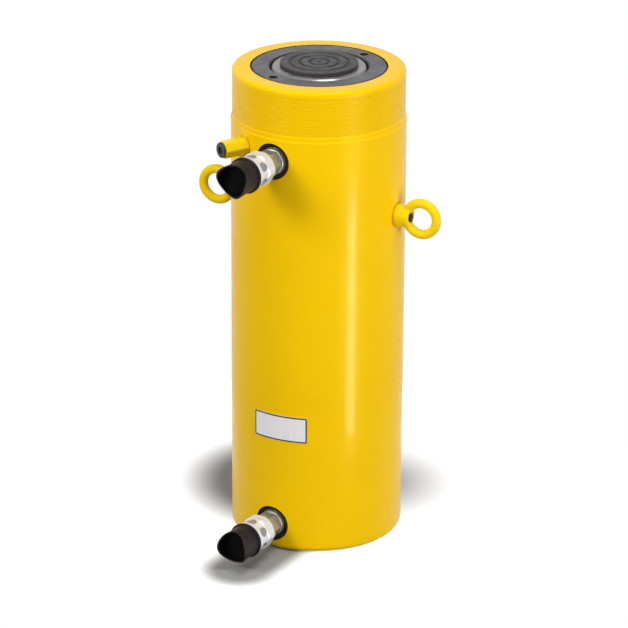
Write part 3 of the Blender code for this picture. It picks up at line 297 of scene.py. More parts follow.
collar_step = COLLAR_RADIUS - THREAD_ROOT_RADIUS
barrel = turned("barrel", [
    (0.0, 0.0),
    (BARREL_RADIUS, 0.0, BARREL_FOOT_ROUNDING),
    (BARREL_RADIUS, COLLAR_LOW, 0.0008),
    (COLLAR_RADIUS, COLLAR_LOW, 0.0003),
    (COLLAR_RADIUS, THREAD_LOW),
    (THREAD_ROOT_RADIUS, THREAD_LOW + collar_step),
    (THREAD_ROOT_RADIUS, THREAD_HIGH - collar_step),
    (COLLAR_RADIUS, THREAD_HIGH),
    (COLLAR_RADIUS, COLLAR_TOP, COLLAR_ROUNDING),
    (GLAND_SEAT_RADIUS, COLLAR_TOP, 0.0004),
    (GLAND_SEAT_RADIUS, GLAND_SHELF),
    (BORE_RADIUS, GLAND_SHELF, 0.0005),
    (BORE_RADIUS, BORE_FLOOR),
    (0.0, BORE_FLOOR),
], BARREL_SIDES, steps=6)
barrel.data.materials.append(barrel_enamel)
barrel.data.materials.append(bore_steel)
barrel.data.materials.append(port_black_and_seat_shade)
for face in barrel.data.polygons:
    reach = math.hypot(face.center.x, face.center.y)
    in_bore = reach < GLAND_SEAT_RADIUS + 0.0001 and face.center.z > BORE_FLOOR - 0.0001
    in_seat = reach < GLAND_SEAT_RADIUS + 0.0005 and face.center.z > GLAND_SHELF + 0.0001
    under_foot = face.center.z < 0.00001
    # painted shade: the stop ring's seat, up to its rounded top edge, is near black for the shadow
    # in the gap round the stop ring
    if in_seat:
        face.material_index = 2
    elif in_bore or under_foot:
        face.material_index = 1

port_drills = []
for port_name, port_height in PORT_HEIGHTS.items():
    drill = turned(port_name + "_port_drill", [
        (0.0, DRILL_START),
        (OIL_HOLE_RADIUS, DRILL_START),
        (OIL_HOLE_RADIUS, PORT_THREAD_FLOOR),
        (PORT_THREAD_RADIUS, PORT_THREAD_FLOOR),
        (PORT_THREAD_RADIUS, PORT_FACE),
        (PORT_BARE_RADIUS, PORT_FACE),
        (PORT_FACE_RADIUS, PORT_FACE),
        (PORT_CONE_RADIUS, PORT_CONE_EDGE),
        (PORT_CONE_RADIUS, DRILL_END),
        (0.0, DRILL_END),
    ], sides=96, place=along(PORT_AZIMUTH, port_height))
    drill.data.materials.append(port_steel)
    drill.data.materials.append(port_black_and_seat_shade)
    for face in drill.data.polygons:
        if math.hypot(face.center.x, face.center.y) > PORT_BARE_RADIUS + 0.0002:
            face.material_index = 1
    port_drills.append(drill)

painted_drills = [turned("relief_drill", [
    (0.0, DRILL_START),
    (RELIEF_OIL_HOLE_RADIUS, DRILL_START),
    (RELIEF_OIL_HOLE_RADIUS, RELIEF_THREAD_FLOOR),
    (RELIEF_THREAD_RADIUS, RELIEF_THREAD_FLOOR),
    (RELIEF_THREAD_RADIUS, RELIEF_FACE),
    (RELIEF_FACE_RADIUS, RELIEF_FACE),
    (RELIEF_FACE_RADIUS, DRILL_END),
    (0.0, DRILL_END),
], sides=48, place=along(RELIEF_AZIMUTH, RELIEF_HEIGHT))]
for side, azimuth in EYE_AZIMUTHS.items():
    painted_drills.append(turned(side + "_eye_drill", [
        (0.0, STUD_HOLE_FLOOR),
        (STUD_HOLE_RADIUS, STUD_HOLE_FLOOR),
        (STUD_HOLE_RADIUS, EYE_FACE),
        (EYE_FACE_RADIUS, EYE_FACE),
        (EYE_FACE_RADIUS, DRILL_END),
        (0.0, DRILL_END),
    ], sides=48, place=along(azimuth, EYE_HEIGHT)))
for drill in painted_drills:
    drill.data.materials.append(barrel_enamel)

foot_drills = []
for number in range(4):
    angle = FOOT_HOLE_START + number * math.pi / 2
    spot = (FOOT_HOLE_CIRCLE * math.cos(angle), FOOT_HOLE_CIRCLE * math.sin(angle), 0.0)
    drill = turned("foot_hole_drill", [
        (0.0, -FOOT_HOLE_CLEARANCE),
        (FOOT_HOLE_RADIUS, -FOOT_HOLE_CLEARANCE),
        (FOOT_HOLE_RADIUS, FOOT_HOLE_DEPTH),
        (0.0, FOOT_HOLE_DEPTH + FOOT_HOLE_POINT),
    ], sides=32, place=Matrix.Translation(spot))
    drill.data.materials.append(bore_steel)
    foot_drills.append(drill)
machined(barrel, port_drills + painted_drills + foot_drills)
polished(barrel)
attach(barrel, "cylinder")
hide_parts("cylinder_body")

# Collar thread.
# A fine thread of twelve turns to the inch, cut round the collar so that the cylinder can be
# screwed into a fixture. It is part of the forging and is painted with it, so its crests look
# soft. Its enamel is a darker yellow than the barrel's, as painted shade for its valleys.
THREAD_CREST_RADIUS = 0.09989
THREAD_PITCH = 0.002117
THREAD_STEPS_PER_TURN = 144
THREAD_SINK = 0.00015
THREAD_FOOT_SHARE = 0.49
THREAD_CREST_SHARE = 0.11
THREAD_PAINTED_SHADE_YELLOW = (0.87, 0.530, 0.001)
THREAD_PAINTED_SHADE_DARK = (0.84, 0.505, 0.001)


def screw_ridge(name, root, crest, low, high, pitch, steps_per_turn, place=None):
    """One raised helix with sloping flanks that runs out to nothing at both ends."""
    bm = bmesh.new()
    turns = (high - low - pitch) / pitch
    count = round(turns * steps_per_turn)
    fade = steps_per_turn / 5
    foot = root - THREAD_SINK
    sections = []
    for step in range(count + 1):
        angle = 2 * math.pi * step / steps_per_turn
        middle = low + pitch / 2 + (high - low - pitch) * step / count
        rise = min(1.0, step / fade, (count - step) / fade)
        top = root + (crest - root) * rise - THREAD_SINK * (1.0 - rise)
        section = []
        for radius, share in ((foot, -THREAD_FOOT_SHARE), (top, -THREAD_CREST_SHARE),
                              (top, THREAD_CREST_SHARE), (foot, THREAD_FOOT_SHARE)):
            spot = (radius * math.cos(angle), radius * math.sin(angle), middle + share * pitch)
            section.append(bm.verts.new(spot))
        sections.append(section)
    for first, second in zip(sections, sections[1:]):
        for side in range(4):
            after = (side + 1) % 4
            bm.faces.new((first[side], first[after], second[after], second[side]))
    bm.faces.new(sections[0])
    bm.faces.new(sections[-1])
    return shown(name, bm, place)


# painted shade: the thread's enamel is darker than the barrel's for the shade in its valleys
thread_enamel_painted_shade = yellow_enamel("thread_enamel_painted_shade", THREAD_PAINTED_SHADE_DARK, THREAD_PAINTED_SHADE_YELLOW, 500.0, 0.00003)
collar_thread = screw_ridge("collar_thread", THREAD_ROOT_RADIUS, THREAD_CREST_RADIUS,
                            THREAD_LOW + collar_step, THREAD_HIGH - collar_step, THREAD_PITCH,
                            THREAD_STEPS_PER_TURN)
collar_thread.data.materials.append(thread_enamel_painted_shade)
polished(collar_thread, 60)
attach(collar_thread, "cylinder")

# Gland and its seals.
# A bronze gland sits on the shelf in the barrel and guides the plunger. It holds a polyurethane
# rod seal with a backup ring, a guide band, and outside an O ring with its own backup ring. All
# of them are hidden under the stop ring, so the CAD solids stay.
SEAL_BLUE = (0.045, 0.12, 0.30)
SEAL_BLUE_PALE = (0.06, 0.15, 0.34)
NITRILE_BLACK = (0.012, 0.012, 0.012)
NITRILE_PALE = (0.03, 0.03, 0.03)
BAND_CREAM = (0.55, 0.50, 0.36)
BAND_CREAM_PALE = (0.62, 0.57, 0.43)
GLAND_BRONZE = (0.52, 0.29, 0.10)
GLAND_BRONZE_PALE = (0.60, 0.36, 0.15)


def moulded_rubber(name, colour, pale, roughness, specular=0.5):
    """Moulded seal stock: soft sheen, a faint bloom and a fine skin."""
    material, tree, shader = bare_material(name, colour, roughness, 0.0, specular)
    tint(tree, shader, grain(tree, 70.0, 5.0), colour, pale, 0.45, 0.80)
    sheen_range(tree, shader, grain(tree, 120.0, 3.0), roughness * 0.85, roughness * 1.15)
    relief(tree, shader, grain(tree, 1400.0, 2.0), 0.00003, 0.4)
    return material


def wearing(node_name, material):
    """Give a CAD solid that stays its finish."""
    solid = nodes[node_name]
    if not solid.material_slots:
        solid.data.materials.append(material)
    for holder in solid.material_slots:
        holder.material = material


seal_urethane = moulded_rubber("seal_urethane", SEAL_BLUE, SEAL_BLUE_PALE, 0.42)
nitrile_rubber = moulded_rubber("nitrile_rubber", NITRILE_BLACK, NITRILE_PALE, 0.55)
band_polymer = moulded_rubber("band_polymer", BAND_CREAM, BAND_CREAM_PALE, 0.50)
gland_bronze = turned_metal("gland_bronze", GLAND_BRONZE, GLAND_BRONZE_PALE, roughness=0.32,
                            line_scale=420.0, line_depth=0.00005)
wearing("gland_bearing", gland_bronze)
wearing("rod_seal", seal_urethane)
wearing("gland_o_ring", nitrile_rubber)
wearing("rod_backup_ring", band_polymer)
wearing("gland_backup_ring", band_polymer)
wearing("rod_guide_band", band_polymer)

# Stop ring.
# A blackened steel ring screwed into the collar over the gland. It stops the plunger at full
# stroke, and two blind holes take the pin spanner that turns it.
STOP_RING_INNER = 0.0566
STOP_RING_OUTER = 0.0787
STOP_RING_LOW = 0.5497
STOP_RING_CHAMFER = 0.0016
SPANNER_HOLE_CIRCLE = 0.068
SPANNER_HOLE_RADIUS = 0.0047
SPANNER_HOLE_FLOOR = 0.5637
SPANNER_HOLE_POINT = 0.0015
SPANNER_HOLE_CHAMFER = 0.0006
SPANNER_HOLE_ANGLE = math.radians(40)
SPANNER_DRILL_CLEARANCE = 0.001
WIPER_GROOVE_RADIUS = 0.0619
WIPER_GROOVE_LOW = 0.5576
WIPER_GROOVE_HIGH = 0.5657
BLACKENED_STEEL = (0.074, 0.071, 0.080)
RUBBED_STEEL = (0.105, 0.101, 0.112)
GAP_AND_HOLE_SHADE = (0.010, 0.009, 0.008)
GAP_AND_HOLE_SHADE_PALE = (0.016, 0.014, 0.012)

blackened = turned_metal("stop_ring_black", BLACKENED_STEEL, RUBBED_STEEL, roughness=0.46,
                         line_scale=330.0, line_depth=0.00006, metallic=0.35)
gap_and_hole_painted_shade = turned_metal("stop_ring_gap_and_hole_painted_shade", GAP_AND_HOLE_SHADE, GAP_AND_HOLE_SHADE_PALE, roughness=0.6,
                          line_scale=600.0, line_depth=0.00002, metallic=0.2)
stop_ring = turned("stop_ring_turned", [
    (STOP_RING_INNER, STOP_RING_LOW),
    (STOP_RING_OUTER, STOP_RING_LOW),
    (STOP_RING_OUTER, COLLAR_TOP - STOP_RING_CHAMFER),
    (STOP_RING_OUTER - STOP_RING_CHAMFER, COLLAR_TOP, 0.0002),
    (STOP_RING_INNER + STOP_RING_CHAMFER, COLLAR_TOP, 0.0002),
    (STOP_RING_INNER, COLLAR_TOP - STOP_RING_CHAMFER),
    (STOP_RING_INNER, WIPER_GROOVE_HIGH, 0.0003),
    (WIPER_GROOVE_RADIUS, WIPER_GROOVE_HIGH),
    (WIPER_GROOVE_RADIUS, WIPER_GROOVE_LOW),
    (STOP_RING_INNER, WIPER_GROOVE_LOW),
], sides=160)
stop_ring.data.materials.append(blackened)
stop_ring.data.materials.append(gap_and_hole_painted_shade)
# painted shade: the ring's chamfers and walls are near black for the shadow in the gaps at the
# collar and round the plunger
for face in stop_ring.data.polygons:
    off_axis = math.hypot(face.center.x, face.center.y)
    if not STOP_RING_INNER + STOP_RING_CHAMFER < off_axis < STOP_RING_OUTER - STOP_RING_CHAMFER:
        face.material_index = 1
spanner_drills = []
for half_turn in (0.0, math.pi):
    angle = SPANNER_HOLE_ANGLE + half_turn
    spot = (SPANNER_HOLE_CIRCLE * math.cos(angle), SPANNER_HOLE_CIRCLE * math.sin(angle), 0.0)
    drill = turned("spanner_drill", [
        (0.0, SPANNER_HOLE_FLOOR - SPANNER_HOLE_POINT),
        (SPANNER_HOLE_RADIUS, SPANNER_HOLE_FLOOR),
        (SPANNER_HOLE_RADIUS, COLLAR_TOP - SPANNER_HOLE_CHAMFER),
        (SPANNER_HOLE_RADIUS + SPANNER_HOLE_CHAMFER + SPANNER_DRILL_CLEARANCE,
         COLLAR_TOP + SPANNER_DRILL_CLEARANCE),
        (0.0, COLLAR_TOP + SPANNER_DRILL_CLEARANCE),
    ], sides=40, place=Matrix.Translation(spot))
    # painted shade: the spanner holes are near black for the shade inside them
    drill.data.materials.append(gap_and_hole_painted_shade)
    spanner_drills.append(drill)
machined(stop_ring, spanner_drills)
polished(stop_ring)
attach(stop_ring, "cylinder")
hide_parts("stop_ring")

# Rod wiper.
# A polyurethane scraper pressed into the stop ring. Its lip leans on the chrome, and only its
# shadow shows round the plunger.
WIPER_INNER = 0.0569
WIPER_OUTER = 0.0613
WIPER_LOW = 0.5579
WIPER_HIGH = 0.5654
WIPER_SHOULDER = 0.0588
WIPER_LIP_RADIUS = 0.05615
WIPER_LIP_HEIGHT = 0.5644
WIPER_LIP_START = 0.5614
WIPER_PALE = (0.02, 0.02, 0.02)

wiper_black = moulded_rubber("wiper_black", NITRILE_BLACK, WIPER_PALE, 0.5)
rod_wiper = turned("rod_wiper_lip", [
    (WIPER_INNER, WIPER_LOW),
    (WIPER_OUTER, WIPER_LOW),
    (WIPER_OUTER, WIPER_HIGH, 0.0003),
    (WIPER_SHOULDER, WIPER_HIGH, 0.0003),
    (WIPER_LIP_RADIUS, WIPER_LIP_HEIGHT, 0.0002),
    (WIPER_INNER, WIPER_LIP_START),
], sides=128)
rod_wiper.data.materials.append(wiper_black)
polished(rod_wiper)
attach(rod_wiper, "cylinder")
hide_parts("rod_wiper")

# Plunger.
# A steel bar, ground and hard chromed. Its lower end is turned down to a tenon for the piston
# and a thread for the nut, its top edge is bevelled, and its top is bored for the saddle's stem.
PLUNGER_RADIUS = 0.056
PLUNGER_END = 0.0273
PLUNGER_LEAD = 0.0045
PLUNGER_LEAD_DEPTH = 0.0010
PLUNGER_BEVEL = 0.0021
NUT_THREAD_RADIUS = 0.035
NUT_THREAD_TOP = 0.0421
TENON_RADIUS = 0.040
TENON_TOP = 0.1000
SADDLE_BORE_RADIUS = 0.0233
SADDLE_BORE_FLOOR = 0.5427
CHROME = (0.56, 0.56, 0.58)
CHROME_PALE = (0.59, 0.59, 0.60)
FACED_STEEL = (0.26, 0.25, 0.25)
FACED_STEEL_PALE = (0.33, 0.32, 0.32)
BEVEL_STEEL = (0.20, 0.198, 0.198)
BEVEL_STEEL_PALE = (0.25, 0.248, 0.248)
LEAD_PAINTED_SHADE = (0.020, 0.019, 0.019)
LEAD_PAINTED_SHADE_PALE = (0.035, 0.033, 0.033)

chrome, chrome_tree, chrome_shader = bare_material("hard_chrome", CHROME, 0.16, 1.0)
tint(chrome_tree, chrome_shader, grain(chrome_tree, 30.0, 5.0), CHROME, CHROME_PALE)
sheen_range(chrome_tree, chrome_shader, grain(chrome_tree, 300.0, 4.0), 0.13, 0.18)
relief(chrome_tree, chrome_shader, grain(chrome_tree, 900.0, 3.0, (0.15, 0.15, 1.0)), 0.00002, 0.25)
faced_steel = turned_metal("faced_steel", FACED_STEEL, FACED_STEEL_PALE, roughness=0.42,
                           line_scale=520.0, line_depth=0.00004, metallic=0.8)
bright_edge = turned_metal("bright_edge", BEVEL_STEEL, BEVEL_STEEL_PALE, roughness=0.30,
                           line_scale=520.0, line_depth=0.00002)
lead_painted_shade = turned_metal("lead_painted_shade", LEAD_PAINTED_SHADE, LEAD_PAINTED_SHADE_PALE, roughness=0.45,
                          line_scale=520.0, line_depth=0.00003, metallic=0.2)
bevel_start = PLUNGER_RADIUS - PLUNGER_LEAD_DEPTH
bevel_end = bevel_start - PLUNGER_BEVEL
plunger = turned("plunger_chromed", [
    (0.0, PLUNGER_END),
    (NUT_THREAD_RADIUS, PLUNGER_END, 0.0008),
    (NUT_THREAD_RADIUS, NUT_THREAD_TOP),
    (TENON_RADIUS, NUT_THREAD_TOP, 0.0006),
    (TENON_RADIUS, TENON_TOP),
    (PLUNGER_RADIUS, TENON_TOP, 0.0005),
    (PLUNGER_RADIUS, COLLAR_TOP - PLUNGER_LEAD, 0.0010),
    (bevel_start, COLLAR_TOP - PLUNGER_BEVEL, 0.0003),
    (bevel_end, COLLAR_TOP, 0.0004),
    (SADDLE_BORE_RADIUS, COLLAR_TOP, 0.0004),
    (SADDLE_BORE_RADIUS, SADDLE_BORE_FLOOR),
    (0.0, SADDLE_BORE_FLOOR),
], sides=144)
for material in (chrome, faced_steel, lead_painted_shade, bright_edge):
    plunger.data.materials.append(material)
for face in plunger.data.polygons:
    off_axis = math.hypot(face.center.x, face.center.y)
    above_lead = face.center.z - COLLAR_TOP + PLUNGER_LEAD
    if face.center.z > COLLAR_TOP - 0.0001:
        face.material_index = 1
    elif off_axis > bevel_end and above_lead > 0.0 and face.normal.z > 0.4:
        face.material_index = 3
    # painted shade: the lead below the bevel is near black for the shadow in the gap under the stop
    # ring
    elif above_lead > 0.0003 and face.normal.z > 0.1:
        face.material_index = 2
polished(plunger)
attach(plunger, "plunger")
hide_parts("plunger")

# Piston, its seals, nut and stop tube.
# A cast iron piston is clamped on the plunger's tenon by a slotted nut. It carries two U cups
# back to back, each with a backup ring, and a bronze guide band. A plain tube above it sets the
# stroke. All of it works inside the barrel, so the CAD solids stay.
IRON_GREY = (0.16, 0.16, 0.165)
IRON_GREY_PALE = (0.22, 0.22, 0.225)

piston_iron = turned_metal("piston_iron", IRON_GREY, IRON_GREY_PALE, roughness=0.5,
                           line_scale=380.0, line_depth=0.00007, metallic=0.9)
nut_black = turned_metal("nut_black", BLACKENED_STEEL, RUBBED_STEEL, roughness=0.4,
                         line_scale=300.0, line_depth=0.00005, metallic=0.7)
wearing("piston", piston_iron)
wearing("stop_tube", piston_iron)
wearing("piston_nut", nut_black)
wearing("piston_guide_band", gland_bronze)
wearing("piston_o_ring", nitrile_rubber)
for end in ("advance", "retract"):
    wearing(end + "_seal", seal_urethane)
    wearing(end + "_backup_ring", band_polymer)

# Saddle.
# A blackened steel disc with three turned grooves and a centre dimple that grip the load. Its
# stem drops into the plunger, where an O ring holds it but lets it turn and be lifted out.
SADDLE_RADIUS = 0.045
SADDLE_LOW = 0.571
SADDLE_TOP = 0.5755
SADDLE_STEM_RADIUS = 0.023
SADDLE_STEM_END = 0.5470
SADDLE_RING_GROOVE_RADIUS = 0.0202
SADDLE_RING_GROOVE_LOW = 0.5525
SADDLE_RING_GROOVE_HIGH = 0.5555
GROOVE_SHARES = (0.75, 0.50, 0.25)
GROOVE_HALF_WIDTH = 0.0018
GROOVE_FLOOR_HALF_WIDTH = 0.0006
GROOVE_DEPTH = 0.0014
DIMPLE_RADIUS = 0.003
DIMPLE_DEPTH = 0.0016
SADDLE_BLACK = (0.026, 0.023, 0.024)
SADDLE_BLACK_PALE = (0.040, 0.036, 0.037)
GROOVE_PAINTED_SHADE = (0.012, 0.010, 0.011)
GROOVE_PAINTED_SHADE_PALE = (0.020, 0.018, 0.019)

saddle_outline = [
    (0.0, SADDLE_STEM_END),
    (SADDLE_STEM_RADIUS, SADDLE_STEM_END, 0.0009),
    (SADDLE_STEM_RADIUS, SADDLE_RING_GROOVE_LOW),
    (SADDLE_RING_GROOVE_RADIUS, SADDLE_RING_GROOVE_LOW),
    (SADDLE_RING_GROOVE_RADIUS, SADDLE_RING_GROOVE_HIGH),
    (SADDLE_STEM_RADIUS, SADDLE_RING_GROOVE_HIGH),
    (SADDLE_STEM_RADIUS, SADDLE_LOW),
    (SADDLE_RADIUS, SADDLE_LOW, 0.0004),
    (SADDLE_RADIUS, SADDLE_TOP, 0.0008),
]
for share in GROOVE_SHARES:
    groove_middle = SADDLE_RADIUS * share
    saddle_outline += [
        (groove_middle + GROOVE_HALF_WIDTH, SADDLE_TOP, 0.0003),
        (groove_middle + GROOVE_FLOOR_HALF_WIDTH, SADDLE_TOP - GROOVE_DEPTH, 0.0002),
        (groove_middle - GROOVE_FLOOR_HALF_WIDTH, SADDLE_TOP - GROOVE_DEPTH, 0.0002),
        (groove_middle - GROOVE_HALF_WIDTH, SADDLE_TOP, 0.0003),
    ]
saddle_outline += [(DIMPLE_RADIUS, SADDLE_TOP, 0.0003), (0.0, SADDLE_TOP - DIMPLE_DEPTH)]
saddle_black = turned_metal("saddle_black", SADDLE_BLACK, SADDLE_BLACK_PALE, roughness=0.54,
                            line_scale=420.0, line_depth=0.00005, metallic=0.15)
groove_painted_shade = turned_metal("groove_painted_shade", GROOVE_PAINTED_SHADE, GROOVE_PAINTED_SHADE_PALE, roughness=0.60,
                            line_scale=420.0, line_depth=0.00003, metallic=0.2)
saddle = turned("saddle_turned", saddle_outline, sides=144)
saddle.data.materials.append(saddle_black)
saddle.data.materials.append(groove_painted_shade)
# painted shade: the walls of the grooves and the dimple are darker than the saddle for the shade in
# them
for face in saddle.data.polygons:
    if face.center.z > SADDLE_TOP - 0.0018 and abs(face.normal.z) < 0.9:
        off_axis = math.hypot(face.center.x, face.center.y)
        if off_axis < SADDLE_RADIUS - 0.002:
            face.material_index = 1
polished(saddle)
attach(saddle, "saddle")
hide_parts("saddle")
wearing("saddle_o_ring", nitrile_rubber)

# Port adapters.
# Steel adapters, zinc plated and passivated to a straw colour, screwed into the two ports until
# the collar seats. Each has a hexagon for the spanner and a spigot that the coupler takes.
ADAPTER_END = 0.0836
ADAPTER_THREAD_RADIUS = 0.0082
ADAPTER_SEAT = 0.0976
ADAPTER_COLLAR_RADIUS = 0.0150
ADAPTER_HEX = 0.027
ADAPTER_HEX_LOW = 0.1021
ADAPTER_HEX_HIGH = 0.1191
ADAPTER_NECK_RADIUS = 0.0120
ADAPTER_NECK_END = 0.1231
SPIGOT_RADIUS = 0.0098
SPIGOT_END = 0.1344
MILL_CLEARANCE = 0.0003
ADAPTER_MILL_REACH = 0.03
ZINC_OLIVE = (0.33, 0.32, 0.27)
ZINC_STRAW = (0.45, 0.44, 0.37)


def hexagon_mill(name, across, low, high, reach, place):
    """The ring of metal that a milling cutter takes off to leave a hexagon."""
    corner = across / 2 / math.cos(math.pi / 6)
    outline = [(corner, low), (reach, low), (reach, high), (corner, high)]
    return turned(name, outline, 6, place)


zinc, zinc_tree, zinc_shader = bare_material("passivated_zinc", ZINC_OLIVE, 0.36, 0.7)
tint(zinc_tree, zinc_shader, grain(zinc_tree, 150.0, 5.0), ZINC_OLIVE, ZINC_STRAW, 0.3, 0.7)
sheen_range(zinc_tree, zinc_shader, grain(zinc_tree, 220.0, 4.0), 0.30, 0.44)
relief(zinc_tree, zinc_shader, grain(zinc_tree, 1200.0, 2.0), 0.00003, 0.3)
hex_corner = ADAPTER_HEX / 2 / math.cos(math.pi / 6)
hex_bevel = hex_corner - ADAPTER_HEX / 2
for port_name, port_height in PORT_HEIGHTS.items():
    seat = along(PORT_AZIMUTH, port_height)
    adapter = turned(port_name + "_adapter_turned", [
        (OIL_HOLE_RADIUS, ADAPTER_END),
        (ADAPTER_THREAD_RADIUS, ADAPTER_END, 0.0006),
        (ADAPTER_THREAD_RADIUS, ADAPTER_SEAT),
        (ADAPTER_COLLAR_RADIUS, ADAPTER_SEAT, 0.0005),
        (ADAPTER_COLLAR_RADIUS, ADAPTER_HEX_LOW, 0.0009),
        (hex_corner - hex_bevel, ADAPTER_HEX_LOW),
        (hex_corner, ADAPTER_HEX_LOW + hex_bevel / 2),
        (hex_corner, ADAPTER_HEX_HIGH - hex_bevel / 2),
        (hex_corner - hex_bevel, ADAPTER_HEX_HIGH),
        (ADAPTER_NECK_RADIUS, ADAPTER_HEX_HIGH),
        (ADAPTER_NECK_RADIUS, ADAPTER_NECK_END),
        (SPIGOT_RADIUS, ADAPTER_NECK_END),
        (SPIGOT_RADIUS, SPIGOT_END, 0.0005),
        (OIL_HOLE_RADIUS, SPIGOT_END),
    ], sides=72, place=seat)
    mill = hexagon_mill("adapter_mill", ADAPTER_HEX, ADAPTER_HEX_LOW + 0.0001,
                        ADAPTER_HEX_HIGH + MILL_CLEARANCE, ADAPTER_MILL_REACH, seat)
    adapter.data.materials.append(zinc)
    mill.data.materials.append(zinc)
    machined(adapter, [mill])
    polished(adapter, 25)
    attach(adapter, "cylinder")
    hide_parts(port_name + "_adapter")

# Coupler halves.
# Steel with bright blue passivated zinc, screwed on the adapter's spigot: a large hexagon, a band
# with a spot milled in line with each flat, a lip that the dust cap seats on, and a nose with a
# coarse thread for the hose's coupler ring.
COUPLER_HEX = 0.037
COUPLER_START = 0.1234
COUPLER_HEX_END = 0.1382
COUPLER_BEVEL = 0.0022
COUPLER_BEVEL_LENGTH = 0.0018
COUPLER_BAND_END = 0.1499
COUPLER_LIP_END = 0.1553
COUPLER_NOSE_END = 0.1723
COUPLER_CORNER = 0.0200
COUPLER_BAND_RADIUS = 0.0190
COUPLER_LIP_RADIUS = 0.0200
COUPLER_MILL_REACH = 0.04
COUPLER_SPOT_RADIUS = 0.0056
COUPLER_SPOT_FLARE = 0.0006
COUPLER_SPOT_MIDDLE = 0.1440
COUPLER_SPOT_FLOOR = 0.0176
COUPLER_SPOT_TOP = 0.0210
COUPLER_SOCKET_RADIUS = 0.0101
COUPLER_SOCKET_END = 0.1350
COUPLER_OIL_HOLE_RADIUS = 0.0035
VALVE_CHAMBER_RADIUS = 0.0105
VALVE_CHAMBER_FLOOR = 0.1408
VALVE_SEAT_BORE_RADIUS = 0.0121
VALVE_SEAT_SHELF = 0.1643
NECK_RADIUS = 0.0140
NECK_LENGTH = 0.0018
NOSE_ROOT_RADIUS = 0.0144
NOSE_CREST_RADIUS = 0.0150
NOSE_PITCH = 0.0021
NOSE_THREAD_GAP = 0.0004
NOSE_THREAD_RUNOUT = 0.001
NOSE_STEPS_PER_TURN = 48
PLATED_STEEL = (0.83, 0.88, 0.95)
PLATED_SHADE = (0.66, 0.71, 0.79)
SPOT_PAINTED_SHADE = (0.25, 0.26, 0.25)
SPOT_PAINTED_SHADE_PALE = (0.31, 0.32, 0.31)

plated = turned_metal("plated_steel", PLATED_SHADE, PLATED_STEEL, roughness=0.32,
                      line_scale=700.0, line_depth=0.00003, metallic=0.35)
spot_painted_shade = turned_metal("spot_plating_painted_shade", SPOT_PAINTED_SHADE, SPOT_PAINTED_SHADE_PALE, roughness=0.42,
                      line_scale=700.0, line_depth=0.00004, metallic=0.4)
for port_name, port_height in PORT_HEIGHTS.items():
    seat = along(PORT_AZIMUTH, port_height)
    coupler = turned(port_name + "_coupler_turned", [
        (COUPLER_SOCKET_RADIUS, COUPLER_START),
        (COUPLER_CORNER - COUPLER_BEVEL, COUPLER_START),
        (COUPLER_CORNER, COUPLER_START + COUPLER_BEVEL_LENGTH, 0.0004),
        (COUPLER_CORNER, COUPLER_HEX_END - COUPLER_BEVEL_LENGTH, 0.0004),
        (COUPLER_BAND_RADIUS, COUPLER_HEX_END, 0.0003),
        (COUPLER_BAND_RADIUS, COUPLER_BAND_END, 0.0005),
        (COUPLER_LIP_RADIUS, COUPLER_BAND_END, 0.0007),
        (COUPLER_LIP_RADIUS, COUPLER_LIP_END, 0.0007),
        (NECK_RADIUS, COUPLER_LIP_END, 0.0004),
        (NECK_RADIUS, COUPLER_LIP_END + NECK_LENGTH, 0.0003),
        (NOSE_ROOT_RADIUS, COUPLER_LIP_END + NECK_LENGTH),
        (NOSE_ROOT_RADIUS, COUPLER_NOSE_END, 0.0007),
        (VALVE_SEAT_BORE_RADIUS, COUPLER_NOSE_END, 0.0003),
        (VALVE_SEAT_BORE_RADIUS, VALVE_SEAT_SHELF),
        (VALVE_CHAMBER_RADIUS, VALVE_SEAT_SHELF),
        (VALVE_CHAMBER_RADIUS, VALVE_CHAMBER_FLOOR),
        (COUPLER_OIL_HOLE_RADIUS, VALVE_CHAMBER_FLOOR),
        (COUPLER_OIL_HOLE_RADIUS, COUPLER_SOCKET_END),
        (COUPLER_SOCKET_RADIUS, COUPLER_SOCKET_END),
    ], sides=96, place=seat)
    coupler.data.materials.append(plated)
    mill = hexagon_mill("coupler_mill", COUPLER_HEX, COUPLER_START - MILL_CLEARANCE,
                        COUPLER_HEX_END - MILL_CLEARANCE, COUPLER_MILL_REACH, seat)
    mill.data.materials.append(plated)
    cutters = [mill]
    for number in range(6):
        turn = Matrix.Rotation(math.pi / 6 + number * math.pi / 3, 4, "Z")
        spot = Matrix.Translation((0.0, 0.0, COUPLER_SPOT_MIDDLE)) @ turn
        spot_mill = turned("spot_mill", [
            (0.0, COUPLER_SPOT_FLOOR),
            (COUPLER_SPOT_RADIUS, COUPLER_SPOT_FLOOR, 0.0006),
            (COUPLER_SPOT_RADIUS + COUPLER_SPOT_FLARE, COUPLER_SPOT_TOP),
            (0.0, COUPLER_SPOT_TOP),
        ], sides=32, place=seat @ spot @ Matrix.Rotation(math.pi / 2, 4, "Y"))
        # painted shade: the milled spots take a darker plating for the shade in their hollows
        spot_mill.data.materials.append(spot_painted_shade)
        cutters.append(spot_mill)
    machined(coupler, cutters)
    polished(coupler, 25)
    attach(coupler, "cylinder")
    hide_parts(port_name + "_coupler_body")
    nose_thread = screw_ridge(port_name + "_nose_thread", NOSE_ROOT_RADIUS, NOSE_CREST_RADIUS,
                              COUPLER_LIP_END + NECK_LENGTH + NOSE_THREAD_GAP,
                              COUPLER_NOSE_END - NOSE_THREAD_RUNOUT, NOSE_PITCH,
                              NOSE_STEPS_PER_TURN, seat)
    nose_thread.data.materials.append(plated)
    polished(nose_thread, 60)
    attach(nose_thread, "cylinder")

